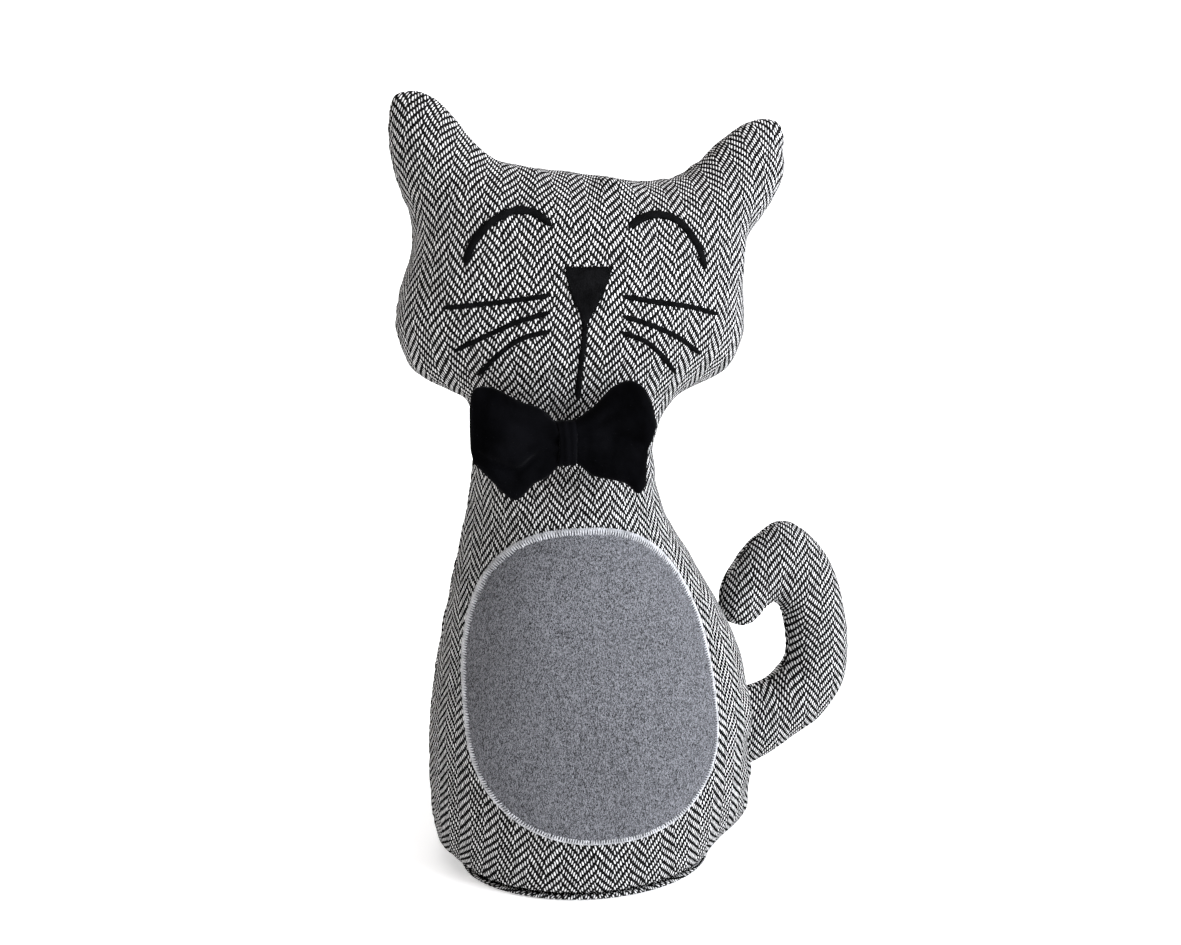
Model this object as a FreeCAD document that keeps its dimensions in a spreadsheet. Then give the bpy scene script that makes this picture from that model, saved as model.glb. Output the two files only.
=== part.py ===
import FreeCAD, Part
import math
import os

# A seated cloth cat with a weighted base, a curled tail and a velvet bow tie.
# Millimetres. +Z is up, the face looks along -Y, the tail is on the +X side, and the origin
# is the middle of the underside, on the surface that the cat stands on.

doc = FreeCAD.newDocument("plush_cat")
sheet = doc.addObject("Spreadsheet::Sheet", "Sizes")
values = {}


def cell(alias, value):
    """One driving dimension: its name in column A, its value with the same alias in column B."""
    row = len(values) + 1
    sheet.set(f"A{row}", alias)
    sheet.set(f"B{row}", str(value))
    sheet.setAlias(f"B{row}", alias)
    values[alias] = value


# ---------------------------------------------------------------- driving dimensions

GENERAL = {
    "cloth_thickness": 1.2,
    "filling_gap": 0.2,
    "seam_gap": 0.2,
    "hem_top": 4.0,
    "neck_split": 212.0,
    "pouch_top": 42.0,
    "pouch_cloth": 0.8,
    "felt_thickness": 1.4,
    "felt_gap": 0.15,
    "thread_gap": 0.15,
    "thread_thickness": 0.9,
    "edging_thickness": 0.7,
    "edging_width": 2.8,
    "edging_overlap": 2.1,
    "reach": 400.0,
}

# name, height, centre x, half width, half depth: level rings up the body
BODY = [
    ("floor", 0.0, 2.5, 68.0, 49.0),
    ("hem", 4.0, 3.0, 72.3, 53.2),
    ("hip", 14.0, 2.6, 75.2, 56.0),
    ("seat", 35.0, 1.7, 77.0, 57.0),
    ("belly", 57.0, 1.0, 77.2, 56.5),
    ("paunch", 80.0, 1.0, 75.4, 54.5),
    ("flank", 103.0, -0.6, 69.8, 51.0),
    ("rib", 125.0, -5.0, 60.2, 46.5),
    ("chest", 148.0, -9.0, 51.7, 42.0),
    ("shoulder", 170.0, -11.8, 44.5, 38.0),
    ("throat", 188.0, -11.5, 41.8, 35.0),
    ("neck", 206.0, -10.5, 42.0, 34.0),
    ("nape", 226.0, -9.0, 45.0, 33.0),
]

HEAD = [
    ("under_chin", 210.0, -9.0, 34.0, 24.0),
    ("chin", 216.0, -7.5, 52.0, 33.5),
    ("jaw", 222.0, -6.5, 62.5, 38.0),
    ("jowl", 231.0, -7.0, 73.0, 42.0),
    ("cheek", 249.0, -6.5, 79.4, 45.0),
    ("temple", 267.0, -5.5, 77.0, 45.0),
    ("brow", 283.0, -3.5, 74.5, 41.5),
    ("forehead", 297.0, -1.0, 69.0, 34.0),
    ("crown", 307.0, 0.5, 60.0, 23.0),
    ("poll", 313.0, 2.0, 47.0, 9.0),
]

LEFT_EAR = [
    ("left_ear_root", 290.0, -57.5, 20.5, 19.0),
    ("left_ear_base", 304.0, -60.5, 22.0, 18.0),
    ("left_ear_fold", 315.0, -61.5, 23.5, 13.5),
    ("left_ear_blade", 325.0, -68.2, 17.8, 10.0),
    ("left_ear_upper", 336.0, -72.5, 13.4, 7.0),
    ("left_ear_point", 342.5, -75.5, 8.8, 4.6),
    ("left_ear_tip", 345.5, -77.0, 4.4, 2.6),
]

RIGHT_EAR = [
    ("right_ear_root", 288.0, 54.5, 20.0, 19.0),
    ("right_ear_base", 301.0, 61.5, 22.0, 18.0),
    ("right_ear_fold", 311.0, 64.5, 23.2, 14.0),
    ("right_ear_blade", 320.0, 69.5, 18.4, 10.5),
    ("right_ear_upper", 329.5, 74.4, 13.3, 7.0),
    ("right_ear_point", 334.8, 77.5, 8.8, 4.6),
    ("right_ear_tip", 337.2, 79.0, 4.4, 2.6),
]

# name, outer x and z, inner x and z, half depth: sections along the tail's curl
TAIL = [
    ("tail_root", 75.5, 17.0, 75.5, 57.0, 12.0),
    ("tail_heel", 92.0, 18.0, 89.0, 57.5, 12.6),
    ("tail_sole", 113.0, 28.5, 103.0, 61.5, 13.0),
    ("tail_bend", 131.0, 42.0, 108.6, 67.5, 13.2),
    ("tail_back", 142.5, 60.0, 110.8, 73.0, 13.4),
    ("tail_rise", 144.6, 79.0, 110.8, 81.0, 13.4),
    ("tail_upper", 141.5, 97.0, 109.8, 90.5, 13.2),
    ("tail_shoulder", 132.5, 124.0, 108.0, 98.5, 13.0),
    ("tail_top", 108.0, 144.0, 104.4, 103.3, 12.6),
    ("tail_crook", 87.5, 134.0, 101.0, 103.2, 12.0),
    ("tail_curl", 75.0, 115.0, 96.2, 98.0, 10.5),
    ("tail_end", 74.5, 99.5, 92.0, 93.5, 7.5),
    ("tail_tip", 79.5, 92.6, 86.5, 91.2, 3.0),
]

TAIL_HINGE = {
    "tail_axis_x": 75.5,
    "tail_axis_y": 40.0,
    "tail_root_height": 37.0,
    "tail_root_radius": 12.4,
    "tail_root_rise": 20.6,
}

# name, x, centre y, centre z, half height, half depth: sections across the bow tie
BOW = [
    ("bow_left_end", -60.0, -53.0, 203.5, 14.0, 2.5),
    ("bow_left_edge", -57.0, -53.5, 203.0, 19.5, 4.5),
    ("bow_left_full", -46.0, -54.0, 202.0, 20.5, 7.0),
    ("bow_left_slope", -32.0, -53.0, 202.0, 13.5, 7.0),
    ("bow_waist", -20.5, -51.0, 202.0, 8.6, 6.0),
    ("bow_right_slope", -9.0, -53.0, 203.0, 13.5, 7.0),
    ("bow_right_full", 4.0, -54.0, 204.0, 21.0, 7.0),
    ("bow_right_edge", 14.5, -53.5, 204.5, 20.0, 4.5),
    ("bow_right_end", 17.5, -53.0, 204.5, 15.0, 2.5),
]

BOW_PARTS = {
    "band_thickness": 1.4,
    "band_gap": 0.1,
    "band_width": 8.5,
    "bow_tack_radius": 1.2,
    "bow_tack_gap": 0.4,
}

# Embroidery on the face: a centre, a radius and two angles for each closed eye
EYES = {
    "left_eye_x": -39.3, "left_eye_z": 276.3, "left_eye_radius": 18.9,
    "left_eye_from": 40.0, "left_eye_sweep": 145.0,
    "right_eye_x": 24.6, "right_eye_z": 272.1, "right_eye_radius": 22.3,
    "right_eye_from": 1.0, "right_eye_sweep": 133.0,
    "eye_stroke": 2.4,
}

NOSE = {
    "nose_x": -9.6, "nose_top": 272.5, "nose_bottom": 250.5, "nose_half_width": 9.0,
    "mouth_bottom": 219.5, "mouth_slant": -3.0, "mouth_stroke": 1.8, "mouth_gap": 0.3,
}

WHISKER_STROKE = 1.5
# inner x and z, outer x and z of each stitched whisker
LEFT_WHISKERS = [
    (-24.9, 260.5, -66.0, 255.3),
    (-24.7, 253.7, -61.6, 238.6),
    (-25.6, 246.0, -51.8, 229.6),
]
RIGHT_WHISKERS = [
    (5.0, 260.3, 51.0, 252.6),
    (4.8, 252.6, 44.4, 235.0),
    (4.5, 245.3, 31.6, 227.2),
]

PATCH = {
    "patch_x": -6.6, "patch_z": 78.0, "patch_half_width": 54.7,
    "patch_rise": 85.0, "patch_drop": 49.5, "patch_lean": -0.054, "patch_power": 2.45,
}

STITCHES = {
    "closing_count": 9, "closing_pitch": 5.0, "closing_length": 5.0, "closing_stroke": 0.9,
    "tack_start": 0.6, "tack_reach_in": 2.6, "tack_radius": 0.5, "tack_rise": 14.0, "tack_spread": 5.0,
}

for group in (GENERAL, TAIL_HINGE, BOW_PARTS, EYES, NOSE, PATCH, STITCHES):
    for alias, value in group.items():
        cell(alias, value)

for name, height, centre, half_width, half_depth in BODY + HEAD + LEFT_EAR + RIGHT_EAR:
    cell(f"{name}_height", height)
    cell(f"{name}_centre", centre)
    cell(f"{name}_half_width", half_width)
    cell(f"{name}_half_depth", half_depth)

for name, outer_x, outer_z, inner_x, inner_z, half_depth in TAIL:
    cell(f"{name}_outer_x", outer_x)
    cell(f"{name}_outer_z", outer_z)
    cell(f"{name}_inner_x", inner_x)
    cell(f"{name}_inner_z", inner_z)
    cell(f"{name}_half_depth", half_depth)

for name, place_x, place_y, place_z, half_height, half_depth in BOW:
    cell(f"{name}_x", place_x)
    cell(f"{name}_y", place_y)
    cell(f"{name}_z", place_z)
    cell(f"{name}_half_height", half_height)
    cell(f"{name}_half_depth", half_depth)

doc.recompute()

# ---------------------------------------------------------------- small builders

nodes = []


def bind(obj, **expressions):
    """Bind properties to the sheet; a double underscore in a name stands for a dot."""
    for prop, text in expressions.items():
        path = prop.replace("__", ".")
        if "." in path:
            path = "." + path
        obj.setExpression(path, text)


def node(obj, label):
    """Mark an object as a piece of the cat."""
    obj.Label = label
    nodes.append(obj)
    return obj


def stack(name, rings, grow="0", first_lift="0", last_lift="0"):
    """A solid lofted through level elliptical rings, grown outwards by an expression."""
    sections = []
    for index, ring in enumerate(rings):
        station = ring[0]
        lift = "0"
        if index == 0:
            lift = first_lift
        if index == len(rings) - 1:
            lift = last_lift
        ellipse = doc.addObject("Part::Ellipse", f"{name}_{station}")
        bind(
            ellipse,
            MajorRadius=f"Sizes.{station}_half_width + {grow}",
            MinorRadius=f"Sizes.{station}_half_depth + {grow}",
            Placement__Base__x=f"Sizes.{station}_centre",
            Placement__Base__z=f"Sizes.{station}_height + {lift}",
        )
        sections.append(ellipse)
    return loft(name, sections)


def loft(name, sections):
    solid = doc.addObject("Part::Loft", name)
    solid.Sections = sections
    solid.Solid = True
    return solid


RING_STEPS = 24
SEW_TOLERANCE = 0.001


def tail_ring(row, grow):
    """Points round one elliptical section of the tail, closed on its outer edge."""
    station = row[0]
    outer = FreeCAD.Vector(values[f"{station}_outer_x"], 0, values[f"{station}_outer_z"])
    inner = FreeCAD.Vector(values[f"{station}_inner_x"], 0, values[f"{station}_inner_z"])
    middle = (outer + inner) / 2 + FreeCAD.Vector(0, values["tail_axis_y"], 0)
    across = (outer - inner).normalize() * ((outer - inner).Length / 2 + grow)
    depth = FreeCAD.Vector(0, values[f"{station}_half_depth"] + grow, 0)
    points = []
    for step in range(RING_STEPS + 1):
        angle = 2 * math.pi * (step % RING_STEPS) / RING_STEPS
        points.append(middle + across * math.cos(angle) + depth * math.sin(angle))
    return points


def tail_middle(row):
    station = row[0]
    return FreeCAD.Vector(
        (values[f"{station}_outer_x"] + values[f"{station}_inner_x"]) / 2,
        values["tail_axis_y"],
        (values[f"{station}_outer_z"] + values[f"{station}_inner_z"]) / 2,
    )


def tail_tube(name, grow_cells=()):
    """The tail without its round root, shrunk by the sum of some cells: a skin over its
    sections, whose curl turns further than a loft through ellipses can follow."""
    shrink = sum(values[alias] for alias in grow_cells)
    skin = Part.BSplineSurface()
    skin.interpolate([tail_ring(row, -shrink) for row in TAIL])
    side = skin.toShape()
    faces = [side]
    for row in (TAIL[0], TAIL[-1]):
        rim = min(
            (edge for edge in side.Edges if edge.isClosed()),
            key=lambda edge: (edge.BoundBox.Center - tail_middle(row)).Length,
        )
        faces.append(Part.Face(Part.Wire([rim])))
    tube = doc.addObject("Part::Feature", f"{name}_tube")
    shell = Part.Shell(faces)
    shell.sewShape()
    solid = Part.Solid(shell)
    solid.fix(SEW_TOLERANCE, SEW_TOLERANCE, SEW_TOLERANCE)
    tube.Shape = solid
    return tube


def curl(name, grow_cells=()):
    """The tail's solid with its round root, shrunk by the sum of some cells."""
    grow = "0" + "".join(f" - Sizes.{alias}" for alias in grow_cells)
    root = doc.addObject("Part::Ellipsoid", f"{name}_round_root")
    bind(
        root,
        Radius1=f"Sizes.tail_root_rise + {grow}",
        Radius2=f"Sizes.tail_root_radius + {grow}",
        Radius3=f"Sizes.tail_root_radius + {grow}",
        Placement__Base__x="Sizes.tail_axis_x",
        Placement__Base__y="Sizes.tail_axis_y",
        Placement__Base__z="Sizes.tail_root_height",
    )
    return union(name, [tail_tube(name, grow_cells), root])


def wings(name, grow="0"):
    """The bow's solid: upright elliptical sections from wing tip to wing tip."""
    upright = FreeCAD.Rotation(
        FreeCAD.Vector(0, 0, 1), FreeCAD.Vector(0, 1, 0), FreeCAD.Vector(-1, 0, 0), "XYZ"
    )
    sections = []
    for station, *_ in BOW:
        ellipse = doc.addObject("Part::Ellipse", f"{name}_{station}")
        ellipse.Placement = FreeCAD.Placement(FreeCAD.Vector(), upright)
        bind(
            ellipse,
            MajorRadius=f"Sizes.{station}_half_height + {grow}",
            MinorRadius=f"Sizes.{station}_half_depth + {grow}",
            Placement__Base__x=f"Sizes.{station}_x",
            Placement__Base__y=f"Sizes.{station}_y",
            Placement__Base__z=f"Sizes.{station}_z",
        )
        sections.append(ellipse)
    return loft(name, sections)


def box(name, low, high):
    """A block between two corners, each coordinate an expression."""
    block = doc.addObject("Part::Box", name)
    bind(
        block,
        Length=f"({high[0]}) - ({low[0]})",
        Width=f"({high[1]}) - ({low[1]})",
        Height=f"({high[2]}) - ({low[2]})",
        Placement__Base__x=low[0],
        Placement__Base__y=low[1],
        Placement__Base__z=low[2],
    )
    return block


def union(name, parts):
    fused = doc.addObject("Part::MultiFuse", name)
    fused.Shapes = parts
    return fused


def common(name, first, second):
    shared = doc.addObject("Part::Common", name)
    shared.Base = first
    shared.Tool = second
    return shared


def cut(name, base, tool):
    rest = doc.addObject("Part::Cut", name)
    rest.Base = base
    rest.Tool = tool
    return rest


def group(name, parts):
    """Several separate solids that share one node."""
    compound = doc.addObject("Part::Compound", name)
    compound.Links = parts
    return compound


FAR = "Sizes.reach"
NEAR = "-Sizes.reach"


def level_slab(name, low, high):
    return box(name, (NEAR, NEAR, low), (FAR, FAR, high))


# ---------------------------------------------------------------- body, head and ears


def cat_solid(name, grow, top_drop):
    """Body, head and ears in one, shrunk by an expression that is zero or negative."""
    return union(
        name,
        [
            stack(f"{name}_body", BODY, grow),
            stack(f"{name}_head", HEAD, grow, f"-({top_drop})", top_drop),
            stack(f"{name}_left_ear", LEFT_EAR, grow, "0", top_drop),
            stack(f"{name}_right_ear", RIGHT_EAR, grow, "0", top_drop),
        ],
    )


CLOTH_IN = "(-Sizes.cloth_thickness)"
FILL_IN = "(-Sizes.cloth_thickness - Sizes.filling_gap)"

outside = cat_solid("outside", "0", "0")
inside = cat_solid("inside", CLOTH_IN, CLOTH_IN)
cavity = common("cavity", inside, level_slab("above_base", "Sizes.cloth_thickness", FAR))
wall = cut("wall", outside, cavity)

HALF_SEAM = "Sizes.seam_gap / 2"
SKIRT = f"Sizes.hem_top + {HALF_SEAM}"

base = common("base", wall, level_slab("hem_slab", "0", f"Sizes.hem_top - {HALF_SEAM}"))
node(base, "base_panel")
front = common(
    "front", wall, box("front_half", (NEAR, NEAR, SKIRT), (FAR, f"-{HALF_SEAM}", FAR))
)
node(front, "front_panel")
back = common("back", wall, box("back_half", (NEAR, HALF_SEAM, SKIRT), (FAR, FAR, FAR)))
node(back, "back_panel")

# ---------------------------------------------------------------- filling and ballast

filling = cat_solid("filling", FILL_IN, FILL_IN)
FLOOR_IN = "Sizes.cloth_thickness + Sizes.filling_gap"
HALF_GAP = "Sizes.filling_gap / 2"

head_slab = level_slab("head_slab", f"Sizes.neck_split + {HALF_GAP}", FAR)
node(common("head_fibre", filling, head_slab), "head_filling")

body_slab = level_slab(
    "body_slab", f"Sizes.pouch_top + {HALF_GAP}", f"Sizes.neck_split - {HALF_GAP}"
)
node(common("body_fibre", filling, body_slab), "body_filling")

pouch_slab = level_slab("pouch_slab", FLOOR_IN, f"Sizes.pouch_top - {HALF_GAP}")
pouch_block = common("pouch_block", filling, pouch_slab)
sand_stack = stack("sand_stack", BODY, "(-Sizes.cloth_thickness - Sizes.filling_gap - Sizes.pouch_cloth)")
sand_slab = level_slab(
    "sand_slab",
    f"{FLOOR_IN} + Sizes.pouch_cloth",
    f"Sizes.pouch_top - {HALF_GAP} - Sizes.pouch_cloth",
)
sand = common("sand", sand_stack, sand_slab)
node(cut("pouch", pouch_block, sand), "weight_pouch")
node(common("ballast_block", sand_stack, sand_slab), "ballast")

# ---------------------------------------------------------------- belly patch and its edging


def patch_prism(name, widen):
    """A block with the patch's rounded outline, which leans a little with the body."""
    points = []
    corners = 28
    for step in range(corners):
        angle = 2 * math.pi * step / corners
        power = 2 / values["patch_power"]
        across = math.copysign(abs(math.cos(angle)) ** power, math.cos(angle))
        along = math.copysign(abs(math.sin(angle)) ** power, math.sin(angle))
        rise = values["patch_rise"] if along > 0 else values["patch_drop"]
        up = along * (rise + widen)
        points.append(
            FreeCAD.Vector(
                values["patch_x"] + across * (values["patch_half_width"] + widen)
                + values["patch_lean"] * up,
                0,
                values["patch_z"] + up,
            )
        )
    curve = Part.BSplineCurve()
    curve.interpolate(Points=points, PeriodicFlag=True)
    outline = doc.addObject("Part::Feature", f"{name}_outline")
    outline.Shape = Part.Wire([curve.toShape()])
    prism = doc.addObject("Part::Extrusion", name)
    prism.Base = outline
    prism.DirMode = "Custom"
    prism.Dir = FreeCAD.Vector(0, -1, 0)
    prism.Solid = True
    bind(prism, LengthFwd="Sizes.reach")
    return prism


FELT_UNDER = "Sizes.felt_gap"
FELT_OVER = "Sizes.felt_gap + Sizes.felt_thickness"
EDGE_UNDER = "Sizes.felt_gap * 2 + Sizes.felt_thickness"
EDGE_OVER = "Sizes.felt_gap * 2 + Sizes.felt_thickness + Sizes.edging_thickness"

felt_layer = cut("felt_layer", stack("felt_over", BODY, FELT_OVER), stack("felt_under", BODY, FELT_UNDER))
node(common("felt", felt_layer, patch_prism("patch_block", 0.0)), "belly_patch")

edge_layer = cut("edge_layer", stack("edge_over", BODY, EDGE_OVER), stack("edge_under", BODY, EDGE_UNDER))
edge_inner = -values["edging_overlap"]
edge_outer = values["edging_width"] - values["edging_overlap"]
edge_band = cut(
    "edge_band", patch_prism("edge_outer", edge_outer), patch_prism("edge_inner", edge_inner)
)
node(common("edging", edge_layer, edge_band), "patch_edging")

# ---------------------------------------------------------------- embroidered face

THREAD_UNDER = "Sizes.thread_gap"
THREAD_OVER = "Sizes.thread_gap + Sizes.thread_thickness"
face_layer = cut(
    "face_layer", stack("face_over", HEAD, THREAD_OVER), stack("face_under", HEAD, THREAD_UNDER)
)
forward = FreeCAD.Rotation(FreeCAD.Vector(1, 0, 0), 90)


def eye(side):
    """A closed eye: part of a ring, seen from the front, laid on the face."""
    rims = []
    for rim, sign in (("outer", "+"), ("inner", "-")):
        drum = doc.addObject("Part::Cylinder", f"{side}_eye_{rim}")
        turn = FreeCAD.Rotation(FreeCAD.Vector(0, 1, 0), -values[f"{side}_eye_from"])
        drum.Placement = FreeCAD.Placement(FreeCAD.Vector(), turn.multiply(forward))
        bind(
            drum,
            Radius=f"Sizes.{side}_eye_radius {sign} Sizes.eye_stroke / 2",
            Angle=f"Sizes.{side}_eye_sweep",
            Height="Sizes.reach",
            Placement__Base__x=f"Sizes.{side}_eye_x",
            Placement__Base__z=f"Sizes.{side}_eye_z",
        )
        rims.append(drum)
    arc = cut(f"{side}_eye_arc", rims[0], rims[1])
    node(common(f"{side}_eye_thread", face_layer, arc), f"{side}_eye")


eye("left")
eye("right")


def stroke_block(name, start, end, width):
    """A block that projects a straight stitched line onto the face."""
    length = math.hypot(end[0] - start[0], end[1] - start[1])
    slope = math.degrees(math.atan2(end[1] - start[1], end[0] - start[0]))
    block = doc.addObject("Part::Box", name)
    block.Length = length
    block.Width = values["reach"]
    block.Height = width
    turn = FreeCAD.Rotation(FreeCAD.Vector(0, 1, 0), -slope)
    shift = turn.multVec(FreeCAD.Vector(0, -values["reach"], -width / 2))
    corner = FreeCAD.Vector(start[0], 0, start[1]) + shift
    block.Placement = FreeCAD.Placement(corner, turn)
    return block


def whiskers(side, lines):
    threads = []
    for number, (inner_x, inner_z, outer_x, outer_z) in enumerate(lines, start=1):
        block = stroke_block(
            f"{side}_whisker_block_{number}", (inner_x, inner_z), (outer_x, outer_z), WHISKER_STROKE
        )
        threads.append(common(f"{side}_whisker_{number}", face_layer, block))
    node(group(f"{side}_whisker_group", threads), f"{side}_whiskers")


whiskers("left", LEFT_WHISKERS)
whiskers("right", RIGHT_WHISKERS)

nose_body = doc.addObject("PartDesign::Body", "nose_block")
nose_sketch = nose_body.newObject("Sketcher::SketchObject", "nose_sketch")
front_plane = [f for f in nose_body.Origin.OriginFeatures if f.Role == "XZ_Plane"][0]
nose_sketch.AttachmentSupport = [(front_plane, "")]
nose_sketch.MapMode = "FlatFace"
left_corner = FreeCAD.Vector(values["nose_x"] - values["nose_half_width"], values["nose_top"], 0)
right_corner = FreeCAD.Vector(values["nose_x"] + values["nose_half_width"], values["nose_top"], 0)
low_corner = FreeCAD.Vector(values["nose_x"], values["nose_bottom"], 0)
corners = [left_corner, right_corner, low_corner]
for index in range(3):
    nose_sketch.addGeometry(Part.LineSegment(corners[index], corners[(index + 1) % 3]), False)
nose_pad = nose_body.newObject("PartDesign::Pad", "nose_pad")
nose_pad.Profile = nose_sketch
bind(nose_pad, Length="Sizes.reach")
node(common("nose_thread", face_layer, nose_body), "nose")

mouth_top = (values["nose_x"], values["nose_bottom"] - values["mouth_gap"])
mouth_low = (values["nose_x"] + values["mouth_slant"], values["mouth_bottom"])
mouth_block = stroke_block("mouth_block", mouth_top, mouth_low, values["mouth_stroke"])
node(common("mouth_thread", face_layer, mouth_block), "mouth")

# ---------------------------------------------------------------- stitches that close the back

thread_layer = cut(
    "thread_layer", stack("thread_over", BODY, THREAD_OVER), stack("thread_under", BODY, THREAD_UNDER)
)
closing = []
for number in range(int(values["closing_count"])):
    offset = (number - (values["closing_count"] - 1) / 2) * values["closing_pitch"]
    window = box(
        f"closing_window_{number + 1}",
        (f"{offset} - Sizes.closing_stroke / 2", "0", "Sizes.hem_top - Sizes.closing_length / 2"),
        (f"{offset} + Sizes.closing_stroke / 2", FAR, "Sizes.hem_top + Sizes.closing_length / 2"),
    )
    closing.append(common(f"closing_stitch_{number + 1}", thread_layer, window))
node(group("closing_group", closing), "closing_stitches")

# ---------------------------------------------------------------- tail

TAIL_Y = "Sizes.tail_axis_y"
tail_outside = curl("tail_outside")
tail_inside = curl("tail_inside", ("cloth_thickness",))
tail_wall = cut("tail_wall", tail_outside, tail_inside)
tail_front_half = box("tail_front_half", (NEAR, NEAR, NEAR), (FAR, f"{TAIL_Y} - {HALF_SEAM}", FAR))
tail_back_half = box("tail_back_half", (NEAR, f"{TAIL_Y} + {HALF_SEAM}", NEAR), (FAR, FAR, FAR))
node(common("tail_front", tail_wall, tail_front_half), "tail_front_panel")
node(common("tail_back", tail_wall, tail_back_half), "tail_back_panel")
node(tail_tube("tail_fibre", ("cloth_thickness", "filling_gap")), "tail_filling")

# Threads that tack the tail's root to the back: they leave the back square to it and stop
# just short of the root, so that the root can turn.
FOOT_TRIES = 8
tack_under = stack("tack_under", BODY, THREAD_UNDER)
root_point = FreeCAD.Vector(values["tail_axis_x"], values["tail_axis_y"], 0)
seat_width = values["seat_half_width"]
seat_depth = values["seat_half_depth"]
seat_centre = values["seat_centre"]
tacks = []
angle = math.atan2(root_point.y / seat_depth, (root_point.x - seat_centre) / seat_width)
for _ in range(FOOT_TRIES):
    foot = FreeCAD.Vector(
        seat_centre + seat_width * math.cos(angle), seat_depth * math.sin(angle), 0
    )
    away = FreeCAD.Vector(math.cos(angle) / seat_width, math.sin(angle) / seat_depth, 0).normalize()
    along = FreeCAD.Vector(-away.y, away.x, 0)
    angle += (root_point - foot).dot(along) / math.hypot(seat_width, seat_depth)
for level in (-1, 1):
    for side in (-1, 1):
        thread = doc.addObject("Part::Cylinder", f"tack_{len(tacks) + 1}")
        start = foot + away * values["tack_start"] + along * (side * values["tack_spread"])
        start.z = values["tail_root_height"] + level * values["tack_rise"]
        turn = FreeCAD.Rotation(FreeCAD.Vector(0, 0, 1), away)
        thread.Placement = FreeCAD.Placement(start, turn)
        bind(thread, Radius="Sizes.tack_radius", Height="Sizes.tack_reach_in")
        tacks.append(cut(f"tack_thread_{len(tacks) + 1}", thread, tack_under))
node(group("tack_group", tacks), "tail_tack_stitches")

# ---------------------------------------------------------------- bow tie

node(wings("bow_wings", "0"), "bow_strip")
BAND_UNDER = "Sizes.band_gap"
BAND_OVER = "Sizes.band_gap + Sizes.band_thickness"
band_layer = cut("band_layer", wings("band_over", BAND_OVER), wings("band_under", BAND_UNDER))
band_slice = box(
    "band_slice",
    ("Sizes.bow_waist_x - Sizes.band_width / 2", NEAR, NEAR),
    ("Sizes.bow_waist_x + Sizes.band_width / 2", FAR, FAR),
)
node(common("band", band_layer, band_slice), "bow_band")

tack_pin = doc.addObject("Part::Cylinder", "bow_tack_pin")
tack_pin.Placement = FreeCAD.Placement(FreeCAD.Vector(), forward)
bind(
    tack_pin,
    Radius="Sizes.bow_tack_radius",
    Height="-Sizes.bow_waist_y - Sizes.bow_waist_half_depth - Sizes.band_gap"
    " - Sizes.band_thickness - Sizes.bow_tack_gap",
    Placement__Base__x="Sizes.bow_waist_x",
    Placement__Base__z="Sizes.bow_waist_z",
)
neck_under = stack("neck_under", BODY, THREAD_UNDER)
node(cut("bow_tack", tack_pin, neck_under), "bow_tack_thread")

# ---------------------------------------------------------------- checks and files

doc.recompute()
for obj in doc.Objects:
    if {"Invalid", "Error"} & set(obj.State):
        raise RuntimeError(f"{obj.Name} did not recompute: {obj.State}")

os.makedirs("parts", exist_ok=True)
for piece in nodes:
    shape = piece.Shape
    if shape.isNull() or not shape.isValid() or not shape.Solids:
        raise RuntimeError(f"{piece.Label} has no valid solid")
for piece in nodes:
    shape = piece.Shape
    size = shape.BoundBox
    print(
        f"{piece.Label}: {len(shape.Solids)} solid(s), {shape.Volume:.0f} mm3,"
        f" z {size.ZMin:.1f} to {size.ZMax:.1f}"
    )
    shape.exportStep(f"parts/{piece.Label}.step")
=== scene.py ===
import math

import bmesh
import bpy
import numpy as np
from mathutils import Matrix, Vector
from mathutils.bvhtree import BVHTree


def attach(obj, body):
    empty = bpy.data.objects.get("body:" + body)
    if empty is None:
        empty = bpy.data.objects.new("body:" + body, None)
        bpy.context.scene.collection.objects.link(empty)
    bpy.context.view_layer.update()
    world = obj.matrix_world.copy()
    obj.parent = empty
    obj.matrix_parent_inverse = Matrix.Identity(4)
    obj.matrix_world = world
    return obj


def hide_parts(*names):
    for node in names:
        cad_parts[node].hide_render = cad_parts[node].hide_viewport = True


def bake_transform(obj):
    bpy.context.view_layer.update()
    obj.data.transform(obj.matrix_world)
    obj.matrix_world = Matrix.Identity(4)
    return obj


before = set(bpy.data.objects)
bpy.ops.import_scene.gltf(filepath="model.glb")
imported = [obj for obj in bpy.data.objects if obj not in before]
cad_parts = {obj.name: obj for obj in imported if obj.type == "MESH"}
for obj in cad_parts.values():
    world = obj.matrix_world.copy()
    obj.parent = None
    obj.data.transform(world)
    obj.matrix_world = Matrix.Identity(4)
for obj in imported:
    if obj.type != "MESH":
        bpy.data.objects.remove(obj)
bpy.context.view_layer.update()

# A seated herringbone cat with a curled tail, a felt belly and a velvet bow tie. Outlines are
# drawn in millimetres in the plane of their side seams and become metres in the meshes.

MM = 0.001
RANDOM = np.random.default_rng(7)

HEM_Z = 2.4
CLOTH = 1.1
BODY_VOXEL = 1.6
COARSE_VOXEL = 5.0
SHELL_STEP = 1.5
# The body is ringed level up to the cut, and upright rings above the column floor make the ears
LEVEL_CUT = 298.0
COLUMN_FLOOR = 284.0

# ------------------------------------------------------------------ outlines

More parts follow.
